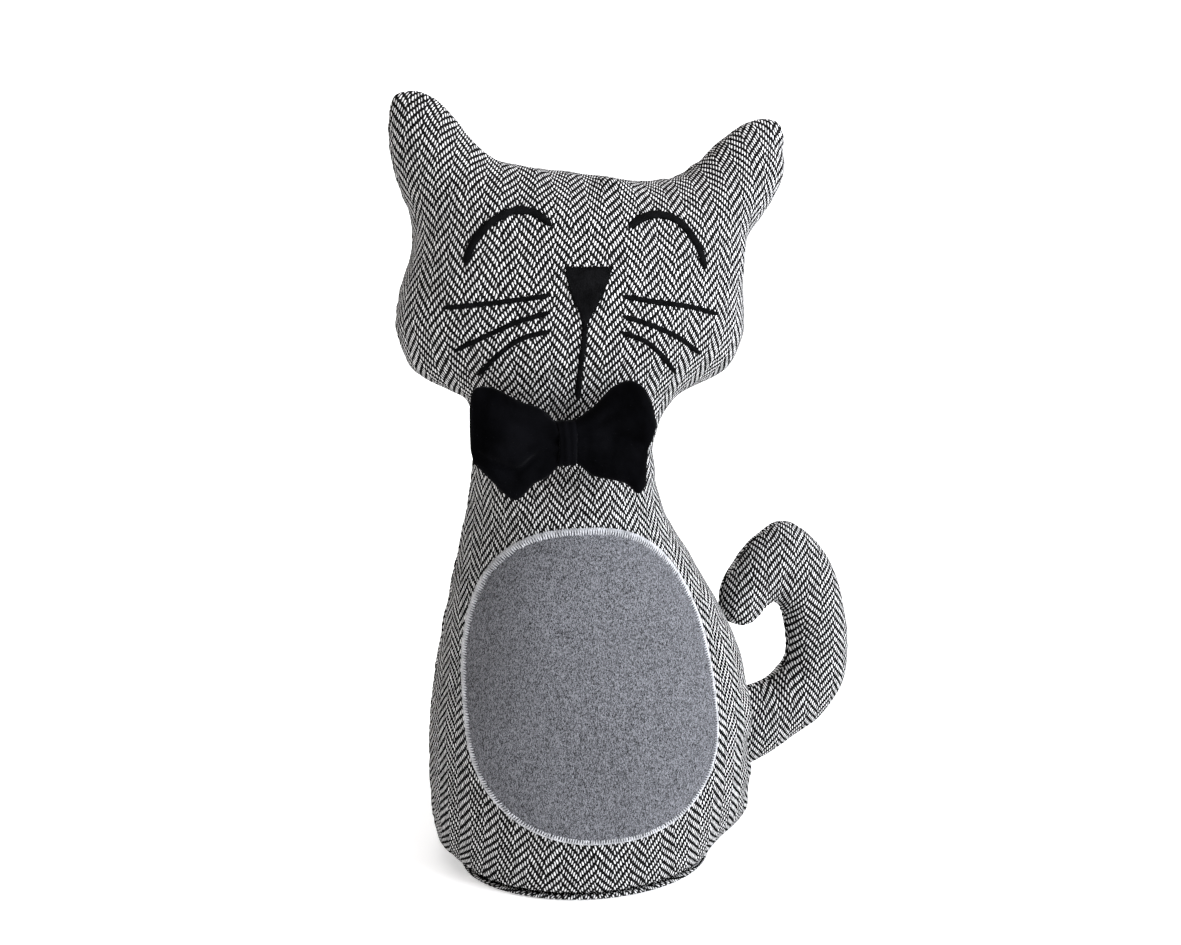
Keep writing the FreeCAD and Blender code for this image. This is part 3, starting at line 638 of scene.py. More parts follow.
class Pillow:
    """The half depth of a stuffed outline: a Poisson solution in it, profiled by height."""

    STEP = 1.0
    SKIRT = 60.0
    MARGIN = 1.6
    SWEEPS, OVER = 220, 1.85
    AROUND = 48

    def __init__(self):
        self.left = smooth_line(LEFT_SIDE)
        self.top = smooth_line(TOP_EDGE)
        self.right = smooth_line(RIGHT_SIDE)
        self.floor_z = self.left[0, 1]
        low = self.floor_z - self.SKIRT
        side_l = np.vstack([[self.left[0, 0], low], self.left])
        side_r = np.vstack([self.right[1:], [self.right[-1, 0], low]])
        self.edge = np.vstack([side_l, self.top[1:], side_r])
        self.x0, self.z0 = self.edge[:, 0].min() - 3, low
        self.nx = int((self.edge[:, 0].max() + 3 - self.x0) / self.STEP) + 1
        self.nz = int((self.edge[:, 1].max() + 3 - self.z0) / self.STEP) + 1
        xs = self.x0 + self.STEP * np.arange(self.nx)
        zs = self.z0 + self.STEP * np.arange(self.nz)
        grid = np.stack(np.meshgrid(xs, zs), axis=-1).reshape(-1, 2)
        inside = self.within(grid).reshape(self.nz, self.nx)
        distance = self.seam(grid)[0].reshape(self.nz, self.nx)
        solved = self.solve(inside)
        ratio = np.where(inside & (distance > self.MARGIN), solved / np.maximum(distance, 0.5), 0.0)
        self.ratio = self.fill(ratio, inside & (distance > self.MARGIN))
        rows = np.array([z for z, _ in DEPTHS])
        peaks = []
        for z in rows:
            x = np.linspace(-60, 60, 61)
            peaks.append(self.swell(np.column_stack([x, np.full_like(x, z)])).max())
        power = np.interp(rows, *zip(*PROFILE_POWER))
        self.gain_z = rows
        self.gain = np.array([d for _, d in DEPTHS]) / np.array(peaks) ** power

    def within(self, p):
        a, b = self.edge, np.roll(self.edge, -1, axis=0)
        inside = np.zeros(len(p), bool)
        for (x1, z1), (x2, z2) in zip(a, b):
            if z1 == z2:
                continue
            crosses = (z1 > p[:, 1]) != (z2 > p[:, 1])
            inside ^= crosses & (p[:, 0] < (x2 - x1) * (p[:, 1] - z1) / (z2 - z1) + x1)
        return inside

    def seam(self, p):
        """Distance to the seam line, which is open at the bottom, and how far along it that is."""
        a, b = self.edge[:-1], self.edge[1:]
        travelled = np.concatenate([[0], np.cumsum(np.linalg.norm(b - a, axis=1))])
        best, run = np.full(len(p), 1e9), np.zeros(len(p))
        for k, (start, end) in enumerate(zip(a, b)):
            span = end - start
            share = np.clip(((p - start) @ span) / (span @ span), 0, 1)
            gap = np.linalg.norm(p - start - share[:, None] * span, axis=1)
            closer = gap < best
            best[closer] = gap[closer]
            run[closer] = travelled[k] + share[closer] * math.sqrt(span @ span)
        return best, run

    def solve(self, inside):
        """Red-black over-relaxation from coarse to fine, with no flow through the bottom row."""
        field = None
        for factor in (8, 4, 2, 1):
            mask = inside[::factor, ::factor]
            if field is None:
                field = np.zeros(mask.shape)
            else:
                field = np.repeat(np.repeat(field, 2, axis=0), 2, axis=1)
                field = field[: mask.shape[0], : mask.shape[1]]
                pad = [(0, mask.shape[i] - field.shape[i]) for i in (0, 1)]
                field = np.pad(field, pad, mode="edge")
            source = (self.STEP * factor) ** 2
            parity = np.add.outer(np.arange(mask.shape[0]), np.arange(mask.shape[1])) % 2
            for _ in range(self.SWEEPS):
                for colour in (0, 1):
                    around = np.zeros_like(field)
                    around[:, 1:] += field[:, :-1]
                    around[:, :-1] += field[:, 1:]
                    around[1:] += field[:-1]
                    around[:-1] += field[1:]
                    around[0] += field[1]
                    target = (around + source) / 4
                    chosen = mask & (parity == colour)
                    field[chosen] += self.OVER * (target[chosen] - field[chosen])
            field[~mask] = 0.0
        return field

    @staticmethod
    def fill(values, known):
        """Carry known values outwards so that they can be read up to and past the edge."""
        filled, have = values.copy(), known.copy()
        for _ in range(6):
            total, count = np.zeros_like(filled), np.zeros_like(filled)
            for axis in (0, 1):
                for shift in (1, -1):
                    total += np.roll(np.where(have, filled, 0), shift, axis)
                    count += np.roll(have.astype(float), shift, axis)
            new = ~have & (count > 0)
            filled[new] = total[new] / count[new]
            have |= new
        return filled

    def swell(self, p):
        """The Poisson field at points of the plane, exactly zero on the seam."""
        gx = np.clip((p[:, 0] - self.x0) / self.STEP, 0, self.nx - 1.001)
        gz = np.clip((p[:, 1] - self.z0) / self.STEP, 0, self.nz - 1.001)
        ix, iz = gx.astype(int), gz.astype(int)
        fx, fz = gx - ix, gz - iz
        r = self.ratio
        value = (
            r[iz, ix] * (1 - fx) * (1 - fz) + r[iz, ix + 1] * fx * (1 - fz)
            + r[iz + 1, ix] * (1 - fx) * fz + r[iz + 1, ix + 1] * fx * fz
        )
        return np.maximum(value * self.seam(p)[0], 0.0)

    def half_depth(self, p):
        z = p[:, 1]
        gain = np.interp(z, self.gain_z, self.gain) * np.interp(z, *zip(*EAR_SHARE))
        return gain * self.swell(p) ** np.interp(z, *zip(*PROFILE_POWER))

    def level_shell(self, step):
        """Rings at even heights from the hem to the level cut."""
        rings = []
        up_left = self.left[: np.argmax(self.left[:, 1]) + 1]
        down_right = self.right[::-1]
        for z in np.arange(self.floor_z, LEVEL_CUT + 0.1, step):
            x_low = np.interp(z, up_left[:, 1], up_left[:, 0])
            x_high = np.interp(z, down_right[:, 1], down_right[:, 0])
            rings.append(self.ring(x_low, x_high, z, level=True))
        return tube_through(rings)

    def column_shell(self, step):
        """Upright rings across the head's top and the ears."""
        lower_left = self.left[self.left[:, 1] > COLUMN_FLOOR]
        lower_right = self.right[self.right[:, 1] > COLUMN_FLOOR]
        low_x, high_x = self.top[0, 0], self.top[-1, 0]
        count = int(1.4 * (high_x - low_x) / step)
        share = (1 - np.cos(np.linspace(0, math.pi, count + 1))) / 2
        even = np.linspace(0, 1, count + 1)
        xs = low_x + (high_x - low_x) * (0.9 * share + 0.1 * even)
        rings = []
        for x in xs[1:-1]:
            z_high = np.interp(x, self.top[:, 0], self.top[:, 1])
            z_low = COLUMN_FLOOR
            if x < lower_left[:, 0].max():
                z_low = np.interp(-x, -lower_left[:, 0], lower_left[:, 1])
            if x > lower_right[:, 0].min():
                order = np.argsort(lower_right[:, 0])
                z_low = np.interp(x, lower_right[order, 0], lower_right[order, 1])
            rings.append(self.ring(z_low, z_high, x, level=False))
        return tube_through(rings)

    def ring(self, low, high, fixed, level):
        """A closed ring between two seam places, level at one height or upright at one x."""
        share = (1 - np.cos(np.linspace(0, math.pi, self.AROUND + 1))) / 2
        moving = low + (high - low) * share
        still = np.full_like(moving, fixed)
        plane = np.column_stack([moving, still] if level else [still, moving])
        depth = self.half_depth(plane)
        front = np.column_stack([plane[:, 0], -depth, plane[:, 1]])
        back = np.column_stack([plane[:, 0], depth, plane[:, 1]])[-2:0:-1]
        return np.vstack([front, back])


def build_body(pillow):
    """Both shells in one mesh, joined as even quads."""
    verts, faces = pillow.level_shell(SHELL_STEP)
    more_verts, more_faces = pillow.column_shell(SHELL_STEP)
    faces += [tuple(v + len(verts) for v in face) for face in more_faces]
    return remesh(link_mesh("body", np.vstack([verts, more_verts]), faces), BODY_VOXEL)


# ------------------------------------------------------------------ cutting, carrying, flattening


def duplicate(obj, name):
    copy = bpy.data.objects.new(name, obj.data.copy())
    copy.data.name = name
    bpy.context.scene.collection.objects.link(copy)
    return copy


def edit_mesh(obj, change):
    bm = bmesh.new()
    bm.from_mesh(obj.data)
    change(bm)
    bm.to_mesh(obj.data)
    bm.free()
    return obj


def cut(obj, point, direction, fill=False):
    """Keep what lies on the side of a plane that the direction points to."""
    def change(bm):
        bmesh.ops.bisect_plane(
            bm, geom=bm.verts[:] + bm.edges[:] + bm.faces[:], dist=1e-7,
            plane_co=Vector(point) * MM, plane_no=Vector(direction), clear_inner=True,
        )
        if fill:
            rim = [edge for edge in bm.edges if edge.is_boundary]
            caps = bmesh.ops.holes_fill(bm, edges=rim, sides=0)["faces"]
            bmesh.ops.triangulate(bm, faces=caps)

    return edit_mesh(obj, change)


def outward(obj):
    """Turn every face of a closed mesh outwards."""
    return edit_mesh(obj, lambda bm: bmesh.ops.recalc_face_normals(bm, faces=bm.faces[:]))


def triangles_of(obj):
    edit_mesh(obj, lambda bm: bmesh.ops.triangulate(bm, faces=bm.faces[:]))
    return np.array([tuple(p.vertices) for p in obj.data.polygons])


class Carrier:
    """Carries values from the corners of a coarse triangle mesh to any points beside it."""

    def __init__(self, obj):
        self.triangles = triangles_of(obj)
        self.points = points_of(obj)
        self.tree = BVHTree.FromPolygons(self.points.tolist(), self.triangles.tolist())

    def carry(self, targets, values):
        spots = np.empty((len(targets), 3))
        hit = np.empty(len(targets), int)
        for k, target in enumerate(targets):
            spot, _, index, _ = self.tree.find_nearest(Vector(target))
            spots[k], hit[k] = spot, index
        corners = self.triangles[hit]
        a, b, c = (self.points[corners[:, i]] for i in range(3))
        u, v, w = b - a, c - a, spots - a
        uu, uv, vv = (u * u).sum(1), (u * v).sum(1), (v * v).sum(1)
        wu, wv = (w * u).sum(1), (w * v).sum(1)
        area = np.maximum(uu * vv - uv * uv, 1e-9)
        s, t = (vv * wu - uv * wv) / area, (uu * wv - uv * wu) / area
        weights = np.stack([1 - s - t, s, t], axis=1)
        return np.einsum("ij,ijk->ik", weights, values[corners])


def flatten(obj, facing):
    """Lay a domed triangle panel out flat at its real size, upright: millimetres at each corner."""
    bpy.context.view_layer.objects.active = obj
    for other in bpy.context.selected_objects:
        other.select_set(False)
    obj.select_set(True)
    bpy.ops.object.mode_set(mode="EDIT")
    bpy.ops.mesh.select_all(action="SELECT")
    bpy.ops.uv.unwrap(method="ANGLE_BASED", margin=0.0)
    bpy.ops.object.mode_set(mode="OBJECT")
    points = points_of(obj)
    loops = np.empty(len(obj.data.loops), int)
    obj.data.loops.foreach_get("vertex_index", loops)
    laid = np.empty(len(loops) * 2)
    obj.data.uv_layers.active.data.foreach_get("uv", laid)
    flat = np.zeros((len(points), 2))
    flat[loops] = laid.reshape(-1, 2)

    # Turn and scale the layout to match the panel as it stands
    drawn = flat[:, 0] + 1j * flat[:, 1]
    stands = -facing * points[:, 0] + 1j * points[:, 2]
    drawn -= drawn.mean()
    turn = np.vdot(drawn, stands - stands.mean())
    edges = np.empty(len(obj.data.edges) * 2, int)
    obj.data.edges.foreach_get("vertices", edges)
    a, b = edges.reshape(-1, 2).T
    real = np.linalg.norm(points[a] - points[b], axis=1)
    drawn *= turn / abs(turn) * real.sum() / np.abs(drawn[a] - drawn[b]).sum()
    drawn += stands.mean()

    return keep_lengths(points, np.array([tuple(p.vertices) for p in obj.data.polygons]), drawn)


LAYOUT_ROUNDS = 25
GRADIENT_STEPS = 45


def keep_lengths(points, triangles, drawn):
    """Ease a flat layout until each triangle is as near as it can be to its real shape, turned."""
    a, b, c = (points[triangles[:, i]] for i in range(3))
    base = np.linalg.norm(b - a, axis=1)
    foot = ((b - a) * (c - a)).sum(1) / base
    height = np.linalg.norm(np.cross(b - a, c - a), axis=1) / base
    corners = np.stack([np.zeros_like(foot), base + 0j, foot + 1j * height], axis=1)
    first = triangles[:, [0, 1, 2]].ravel()
    second = triangles[:, [1, 2, 0]].ravel()
    real = (corners[:, [1, 2, 0]] - corners[:, [0, 1, 2]]).reshape(-1, 3)
    to_a = corners[:, [0, 1, 2]] - corners[:, [2, 0, 1]]
    to_b = corners[:, [1, 2, 0]] - corners[:, [2, 0, 1]]
    product = np.conj(to_a) * to_b
    weight = np.clip(product.real / np.maximum(np.abs(product.imag), 1e-6), 0.05, 10.0)
    flat_weight = weight.ravel()
    count = len(drawn)

    def gather(values):
        real_part, imag_part = (
            np.bincount(second, part, count) - np.bincount(first, part, count)
            for part in (values.real, values.imag)
        )
        return real_part + 1j * imag_part

    for _ in range(LAYOUT_ROUNDS):
        run = (drawn[second] - drawn[first]).reshape(-1, 3)
        turn = (weight * run * np.conj(real)).sum(1)
        turn /= np.maximum(np.abs(turn), 1e-9)
        goal = gather(flat_weight * (turn[:, None] * real).ravel())
        # Conjugate gradients towards the layout with those turns
        rest = goal - gather(flat_weight * (drawn[second] - drawn[first]))
        step, size = rest.copy(), np.vdot(rest, rest).real
        for _ in range(GRADIENT_STEPS):
            pulled = gather(flat_weight * (step[second] - step[first]))
            share = size / max(np.vdot(step, pulled).real, 1e-12)
            drawn = drawn + share * step
            rest = rest - share * pulled
            left = np.vdot(rest, rest).real
            step, size = rest + step * (left / max(size, 1e-12)), left
    return np.column_stack([drawn.real, drawn.imag])


def lay_weave(obj, flat):
    """Store the flat cloth coordinates as the map that the weave follows."""
    layer = obj.data.uv_layers.new(name=WEAVE_MAP)
    loops = np.empty(len(obj.data.loops), int)
    obj.data.loops.foreach_get("vertex_index", loops)
    layer.data.foreach_set("uv", np.asarray(flat)[loops].ravel())


# ------------------------------------------------------------------ stuffing and seams

CORE_INSET, CORE_VOXEL, CORE_LUMPS = 2.7, 3.2, 0.35
# Heights where the filling is parted, and the calico round the sand
POUCH_LOW, POUCH_HIGH = 6.2, 41.6
BODY_LOW, BODY_HIGH, HEAD_LOW = 42.3, 211.7, 212.3
POUCH_GAP, POUCH_CLOTH = 1.3, 0.8
SEAM_GAP = 0.12
HEM_GATHER, GATHER_HEIGHT = 0.12, 70.0
# A chevron peaks on the bridge of the nose
CHEVRON_X, CHEVRON_Z = -9.0, 274.0

PUSH_FRAMES = 20
PUSH_LIMIT = 3.0
CLOTH_SETTINGS = {
    "quality": 6,
    "mass": 0.35,
    "tension_stiffness": 25.0,
    "compression_stiffness": 25.0,
    "bending_stiffness": 2.0,
    "use_pressure": True,
    "uniform_pressure_force": 80.0,
    "vertex_group_mass": "held",
}


def stuffing_push(body):
    """How far the stuffing pushes the cloth between its seams, from a short cloth simulation."""
    coarse = remesh(duplicate(body, "stuffing"), COARSE_VOXEL)
    start = points_of(coarse)
    held = coarse.vertex_groups.new(name="held")
    seam = (np.abs(start[:, 1]) < 4.0) | (start[:, 2] < 9.0)
    held.add(np.flatnonzero(seam).tolist(), 1.0, "REPLACE")
    cloth = coarse.modifiers.new("cloth", "CLOTH")
    for key, value in CLOTH_SETTINGS.items():
        setattr(cloth.settings, key, value)
    cloth.settings.effector_weights.gravity = 0.0
    cloth.point_cache.frame_start = 1
    cloth.point_cache.frame_end = PUSH_FRAMES
    for number in range(1, PUSH_FRAMES + 1):
        bpy.context.scene.frame_set(number)
    apply_modifiers(coarse)
    push = points_of(coarse) - start
    bpy.context.scene.frame_set(1)
    set_points(coarse, start)
    length = np.linalg.norm(push, axis=1, keepdims=True)
    push *= np.minimum(1.0, PUSH_LIMIT / np.maximum(length, 1e-6))
    offsets = Carrier(coarse).carry(points_of(body), push)
    remove(coarse)
    return offsets


def waves_along(run, shortest, longest, seed):
    """Uneven ripples along a seam, from -1 to 1."""
    rng = np.random.default_rng(seed)
    total = np.zeros_like(run)
    count = 7
    for _ in range(count):
        length = rng.uniform(shortest, longest)
        total += np.sin(run * 2 * math.pi / length + rng.uniform(0, 2 * math.pi))
    return total / math.sqrt(count)


def sew_body(body, pillow):
    """Sink the side seam and the hem, and gather the cloth beside them."""
    points, normals = points_of(body), normals_of(body)
    away = np.abs(points[:, 1])
    beside = away < 26.0
    run = np.zeros(len(points))
    run[beside] = pillow.seam(points[beside][:, [0, 2]])[1]
    back = points[:, 1] > 0
    fine, long = (
        np.where(back, waves_along(run, low, high, seed), waves_along(run, low, high, seed + 1))
        for low, high, seed in ((5.5, 11.0, 3), (14.0, 26.0, 5))
    )
    strength = 0.65 + 0.35 * waves_along(run, 60.0, 110.0, 8)
    rising = 1 - np.exp(-((away / 1.4) ** 2))
    height = 0.34 * fine * np.exp(-away / 5.0) * strength
    height += 0.42 * long * np.exp(-away / 13.0) * strength
    height = height * rising
    height -= 1.25 * np.exp(-((away / 1.5) ** 2))
    above_hem = points[:, 2] - HEM_Z
    around = np.arctan2(points[:, 1], points[:, 0]) * 65.0
    height -= 1.1 * np.exp(-((above_hem / 2.2) ** 2))
    height += 0.30 * waves_along(around, 7.0, 13.0, 9) * np.exp(-above_hem / 5.0) * (above_hem > 0)
    lumps = ripples(points, 62.0, 10) * 0.8 + ripples(points, 26.0, 11) * 0.22
    height += lumps * np.clip(above_hem / 25.0, 0, 1) * np.clip(away / 15.0, 0, 1)
    set_points(body, points + normals * height[:, None])


def make_panel(body, coarse, name, facing):
    """The front or back of the body as one piece of cloth, with its flat layout."""
    panel = duplicate(body, name)
    cut(panel, (0, facing * SEAM_GAP, 0), (0, facing, 0))
    cut(panel, (0, 0, HEM_Z + 0.15), (0, 0, 1))
    rough = duplicate(coarse, "rough")
    cut(rough, (0, 0, 0), (0, facing, 0))
    cut(rough, (0, 0, HEM_Z), (0, 0, 1))
    carrier = Carrier(rough)
    flat = flatten(rough, facing)
    points = points_of(panel)
    cloth = carrier.carry(points, flat)
    bridge = np.argmin(np.hypot(points[:, 0] - CHEVRON_X, points[:, 2] - CHEVRON_Z))
    cloth[:, 0] -= cloth[bridge, 0]
    # More cloth is gathered in towards the hem
    cloth[:, 0] *= 1 + HEM_GATHER * np.clip(1 - points[:, 2] / GATHER_HEIGHT, 0, 1)
    lay_weave(panel, cloth + (ENDS_PER_COLUMN * WARP_PITCH, 0.0))
    remove(rough)
    return thicken(panel, CLOTH)


def make_core(body):
    """The space inside the cloth, as one closed and slightly lumpy shape."""
    core = remesh(duplicate(body, "core"), CORE_VOXEL)
    set_points(core, points_of(core) - normals_of(core) * CORE_INSET)
    core = relax(remesh(core, CORE_VOXEL), 0.5, 4)
    lumps = CORE_LUMPS * ripples(points_of(core), 14.0, 12)
    set_points(core, points_of(core) + normals_of(core) * lumps[:, None])
    return core


def make_slice(core, name, low, high):
    """The part of a closed shape between two heights."""
    part = duplicate(core, name)
    if low is not None:
        cut(part, (0, 0, low), (0, 0, 1), fill=True)
    if high is not None:
        cut(part, (0, 0, high), (0, 0, -1), fill=True)
    return outward(part)


# How far in from the hem each ring of the base lies, and its height
BASE_PROFILE = [
    (-1.7, 2.4), (-0.7, 2.2), (-0.2, 1.6), (-0.3, 0.9), (-0.9, 0.35), (-2.2, 0.1), (-4.0, 0.05),
]


def make_base(pillow):
    """A shallow dish that closes the bottom, with its edge rolled up to the hem."""
    low_x, high_x = pillow.left[0, 0], pillow.right[-1, 0]
    rim = pillow.ring(low_x, high_x, HEM_Z, level=True)[:, :2]
    middle = np.array([(low_x + high_x) / 2, 0.0])
    spoke = rim - middle
    length = np.linalg.norm(spoke, axis=1, keepdims=True)
    steps = np.linalg.norm(np.diff(BASE_PROFILE, axis=0), axis=1)
    reach = np.cumsum(steps[::-1])[::-1]
    rings, laid = [], []
    for (inset, z), extra in zip(BASE_PROFILE, [*reach, 0.0]):
        ring = middle + spoke * (length + inset) / length
        rings.append(np.column_stack([ring, np.full(len(rim), z)]))
        laid.append(middle + spoke * (length - 4.0 + extra) / length)
    for share in (0.85, 0.7, 0.55, 0.4, 0.25, 0.1):
        flat = middle + spoke * share * (length - 4.0) / length
        rings.append(np.column_stack([flat, np.full(len(rim), 0.05)]))
        laid.append(flat)
    rings = np.array(rings)
    count, around = rings.shape[:2]
    verts = rings.reshape(-1, 3)
    verts = np.vstack([verts, [middle[0], middle[1], 0.05]])
    laid = np.vstack([np.array(laid).reshape(-1, 2), middle])
    faces = [(a, d, c, b) for a, b, c, d in quads(count, around)]
    faces += fan((count - 1) * around, around, len(verts) - 1, flip=True)
    lumps = 0.25 + 0.25 * ripples(verts, 20.0, 15)
    inner = np.clip((45.0 - np.linalg.norm(verts[:, :2] - middle, axis=1)) / 30.0, 0, 1)
    verts[:, 2] += np.maximum(lumps, 0) * inner
    base = link_mesh("base_cloth", verts, faces, MATERIALS["tweed"])
    lay_weave(base, laid)
    modifier = base.modifiers.new("round", "SUBSURF")
    modifier.levels = 1
    return thicken(base, CLOTH)


# ------------------------------------------------------------------ threads and surfaces


class Surface:
    """Pieces seen from the front or the back, to lay stitches on."""

    def __init__(self, *objects):
        points, faces = [], []
        for obj in objects:
            start = sum(len(p) for p in points)
            faces += [[v + start for v in p.vertices] for p in obj.data.polygons]
            points.append(points_of(obj))
        self.tree = BVHTree.FromPolygons(np.vstack(points).tolist(), faces)

    def spot(self, x, z, facing=-1):
        # A gap between two pieces is stepped over
        for lift in (0.0, 0.5, -0.5, 1.0, -1.0):
            start = Vector((x, facing * 300.0, z + lift))
            place, normal, _, _ = self.tree.ray_cast(start, Vector((0, -facing, 0)))
            if place is not None:
                return np.array(place), np.array(normal)
        raise ValueError(f"no cloth at {x}, {z}")


def make_threads(name, paths, radius, material, sides=6):
    """Many short round threads as one piece, each along its own points and narrow at its ends."""
    verts, faces = [], []
    angles = np.linspace(0, 2 * math.pi, sides, endpoint=False)
    for path in paths:
        path = np.asarray(path, float)
        along = np.gradient(path, axis=0)
        along /= np.linalg.norm(along, axis=1, keepdims=True)
        out = np.array([0.0, -1.0, 0.0]) if abs(along[0, 1]) < 0.9 else np.array([1.0, 0.0, 0.0])
        side = np.cross(along, out)
        side /= np.linalg.norm(side, axis=1, keepdims=True)
        up = np.cross(side, along)
        start = len(verts)
        for k, centre in enumerate(path):
            size = radius * (0.45 if k in (0, len(path) - 1) else 1.0)
            turned = np.outer(np.cos(angles), side[k]) + np.outer(np.sin(angles), up[k])
            ring = centre + size * turned
            verts.extend(ring.tolist())
        faces += quads(len(path), sides, start)
        faces.append(tuple(start + j for j in reversed(range(sides))))
        last = start + (len(path) - 1) * sides
        faces.append(tuple(last + j for j in range(sides)))
    return outward(link_mesh(name, verts, faces, material))


def resample(line, pitch):
    """Points evenly spaced along a plane curve, with the direction at each."""
    steps = np.linalg.norm(np.diff(line, axis=0), axis=1)
    travelled = np.concatenate([[0], np.cumsum(steps)])
    count = max(int(round(travelled[-1] / pitch)), 2)
    marks = np.linspace(0, travelled[-1], count + 1)
    even = np.column_stack([np.interp(marks, travelled, line[:, i]) for i in range(2)])
    heading = np.gradient(even, axis=0)
    heading /= np.linalg.norm(heading, axis=1, keepdims=True)
    return even, heading, marks / travelled[-1]


SATIN_PITCH = 0.33
SATIN_RADIUS = 0.2


def satin(surface, points, width, lift=0.55, slant=0.35):
    """Threads laid side by side across a line on the front: one path for each thread."""
    even, heading, share = resample(smooth_line(points, 12), SATIN_PITCH)
    paths = []
    for (x, z), (hx, hz), q in zip(even, heading, share):
        rounded = min(1.0, 0.45 + 9.0 * min(q, 1 - q))
        half = 0.5 * width * rounded * RANDOM.uniform(0.94, 1.06)
        path = []
        for w in (-1.0, -0.55, 0.0, 0.55, 1.0):
            px = x - hz * half * w + hx * slant * half * w
            pz = z + hx * half * w + hz * slant * half * w
            place, normal = surface.spot(px, pz)
            path.append(place + normal * (lift * (1 - 0.85 * w * w) - 0.05))
        paths.append(path)
    return paths


# ------------------------------------------------------------------ the face

EYES = {
    "left_eye": [
        (-58.3, 273.4), (-56.0, 280.4), (-50.6, 287.8), (-44.0, 292.8), (-36.6, 295.2),
        (-29.6, 293.8), (-24.0, 289.0),
    ],
    "right_eye": [
        (8.4, 288.8), (15.4, 292.6), (22.6, 294.0), (29.6, 292.0), (35.4, 286.6),
        (39.6, 279.0), (41.8, 271.8),
    ],
}
EYE_WIDTH = 3.4
WHISKERS = {
    "left_whiskers": [
        [(-25.0, 261.2), (-39.0, 259.3), (-53.0, 257.5), (-67.4, 256.0)],
        [(-25.2, 254.4), (-38.0, 250.6), (-51.0, 244.6), (-63.0, 238.4)],
        [(-25.3, 246.8), (-37.0, 243.6), (-46.5, 236.4), (-53.2, 228.2)],
    ],
    "right_whiskers": [
        [(4.6, 260.8), (19.0, 258.3), (34.0, 256.2), (48.6, 252.6)],
        [(4.5, 252.8), (17.0, 248.8), (30.0, 243.2), (41.8, 235.6)],
        [(4.0, 246.2), (14.5, 242.2), (23.0, 235.6), (30.8, 227.6)],
    ],
}
WHISKER_WIDTH = 2.2
MOUTH = [(-11.1, 251.5), (-11.4, 243.0), (-12.4, 233.0), (-13.0, 224.0), (-13.4, 218.6)]
MOUTH_WIDTH = 2.5
NOSE_TOP = 272.8
# The nose's lower edge from left to right
NOSE_EDGE = [
    (-19.0, 272.4), (-18.3, 266.6), (-16.1, 259.4), (-13.6, 254.4), (-12.5, 249.8),
    (-9.9, 249.8), (-7.5, 254.4), (-4.8, 259.4), (-2.0, 266.6), (0.6, 272.4),
]


def make_face(surface):
    black = MATERIALS["black_thread"]
    made = []
    for name, arc in EYES.items():
        paths = satin(surface, arc, EYE_WIDTH)
        made.append((name, make_threads(f"{name}_stitching", paths, SATIN_RADIUS, black)))
    for name, lines in WHISKERS.items():
        paths = [path for line in lines for path in satin(surface, line, WHISKER_WIDTH, 0.45)]
        made.append((name, make_threads(f"{name}_stitching", paths, SATIN_RADIUS, black)))
    paths = satin(surface, MOUTH, MOUTH_WIDTH, 0.5)
    made.append(("mouth", make_threads("mouth_stitching", paths, SATIN_RADIUS, black)))

    paths = []
    edge_x, edge_z = zip(*NOSE_EDGE)
    for x in np.arange(edge_x[0], edge_x[-1], 0.31):
        reach = abs(2 * (x - edge_x[0]) / (edge_x[-1] - edge_x[0]) - 1)
        top = NOSE_TOP + RANDOM.uniform(-0.15, 0.15)
        low = np.interp(x, edge_x, edge_z) + RANDOM.uniform(-0.25, 0.25)
        low = min(low, top - 0.9)
        path = []
        for share in np.linspace(0, 1, max(4, int((top - low) / 1.6))):
            place, normal = surface.spot(x + RANDOM.uniform(-0.04, 0.04), top + (low - top) * share)
            rim = min(1.0, 7.0 * min(share, 1 - share) + 0.12)
            swell = 0.4 + 0.45 * (1 - reach**2)
            path.append(place + normal * (swell * rim - 0.05))
        paths.append(path)
    made.append(("nose", make_threads("nose_stitching", paths, 0.24, black)))
    return made


# ------------------------------------------------------------------ the belly patch

PATCH_X, PATCH_Z = -6.6, 78.0
PATCH_HALF, PATCH_RISE, PATCH_DROP = 54.7, 85.0, 49.5
PATCH_LEAN = -0.054
PATCH_POWER = 2.45
FELT = 1.5
EDGING_PITCH, EDGING_RADIUS = 0.56, 0.26


def patch_rim(turns):
    """The patch's outline at the given angles, in the plane."""
    c, s = np.cos(turns), np.sin(turns)
    ex = np.sign(c) * np.abs(c) ** (2 / PATCH_POWER)
    ez = np.sign(s) * np.abs(s) ** (2 / PATCH_POWER)
    rise = ez * np.where(s > 0, PATCH_RISE, PATCH_DROP)
    return np.column_stack([PATCH_X + PATCH_LEAN * rise + PATCH_HALF * ex, PATCH_Z + rise])


def make_patch(surface):
    around, rows = 220, 46
    turns = np.linspace(0, 2 * math.pi, around, endpoint=False)
    rim = patch_rim(turns)
    middle = np.array([PATCH_X, PATCH_Z])
    shares = 1 - (1 - np.linspace(0, 1, rows + 1)[1:]) ** 1.7
    outer, inner = [], []
    for share in shares:
        depth_in = (1 - share) * 50.0
        full = FELT * (0.22 + 0.78 * min(1.0, math.sqrt(max(depth_in, 0.0) / 2.6)))
        for x, z in middle + (rim - middle) * share:
            place, normal = surface.spot(x, z)
            outer.append(place + normal * full)
            inner.append(place + normal * 0.06)
    for group, lift in ((outer, FELT), (inner, 0.06)):
        place, normal = surface.spot(*middle)
        group.append(place + normal * lift)
    half = len(outer)
    faces = []
    for side in (0, 1):
        shift = side * half
        faces += quads(rows, around, shift)
        faces += fan(shift, around, shift + half - 1, flip=True)
    last = (rows - 1) * around
    for j in range(around):
        k = (j + 1) % around
        faces.append((last + j, last + k, half + last + k, half + last + j))
    return outward(link_mesh("belly_felt", outer + inner, faces, MATERIALS["felt"]))


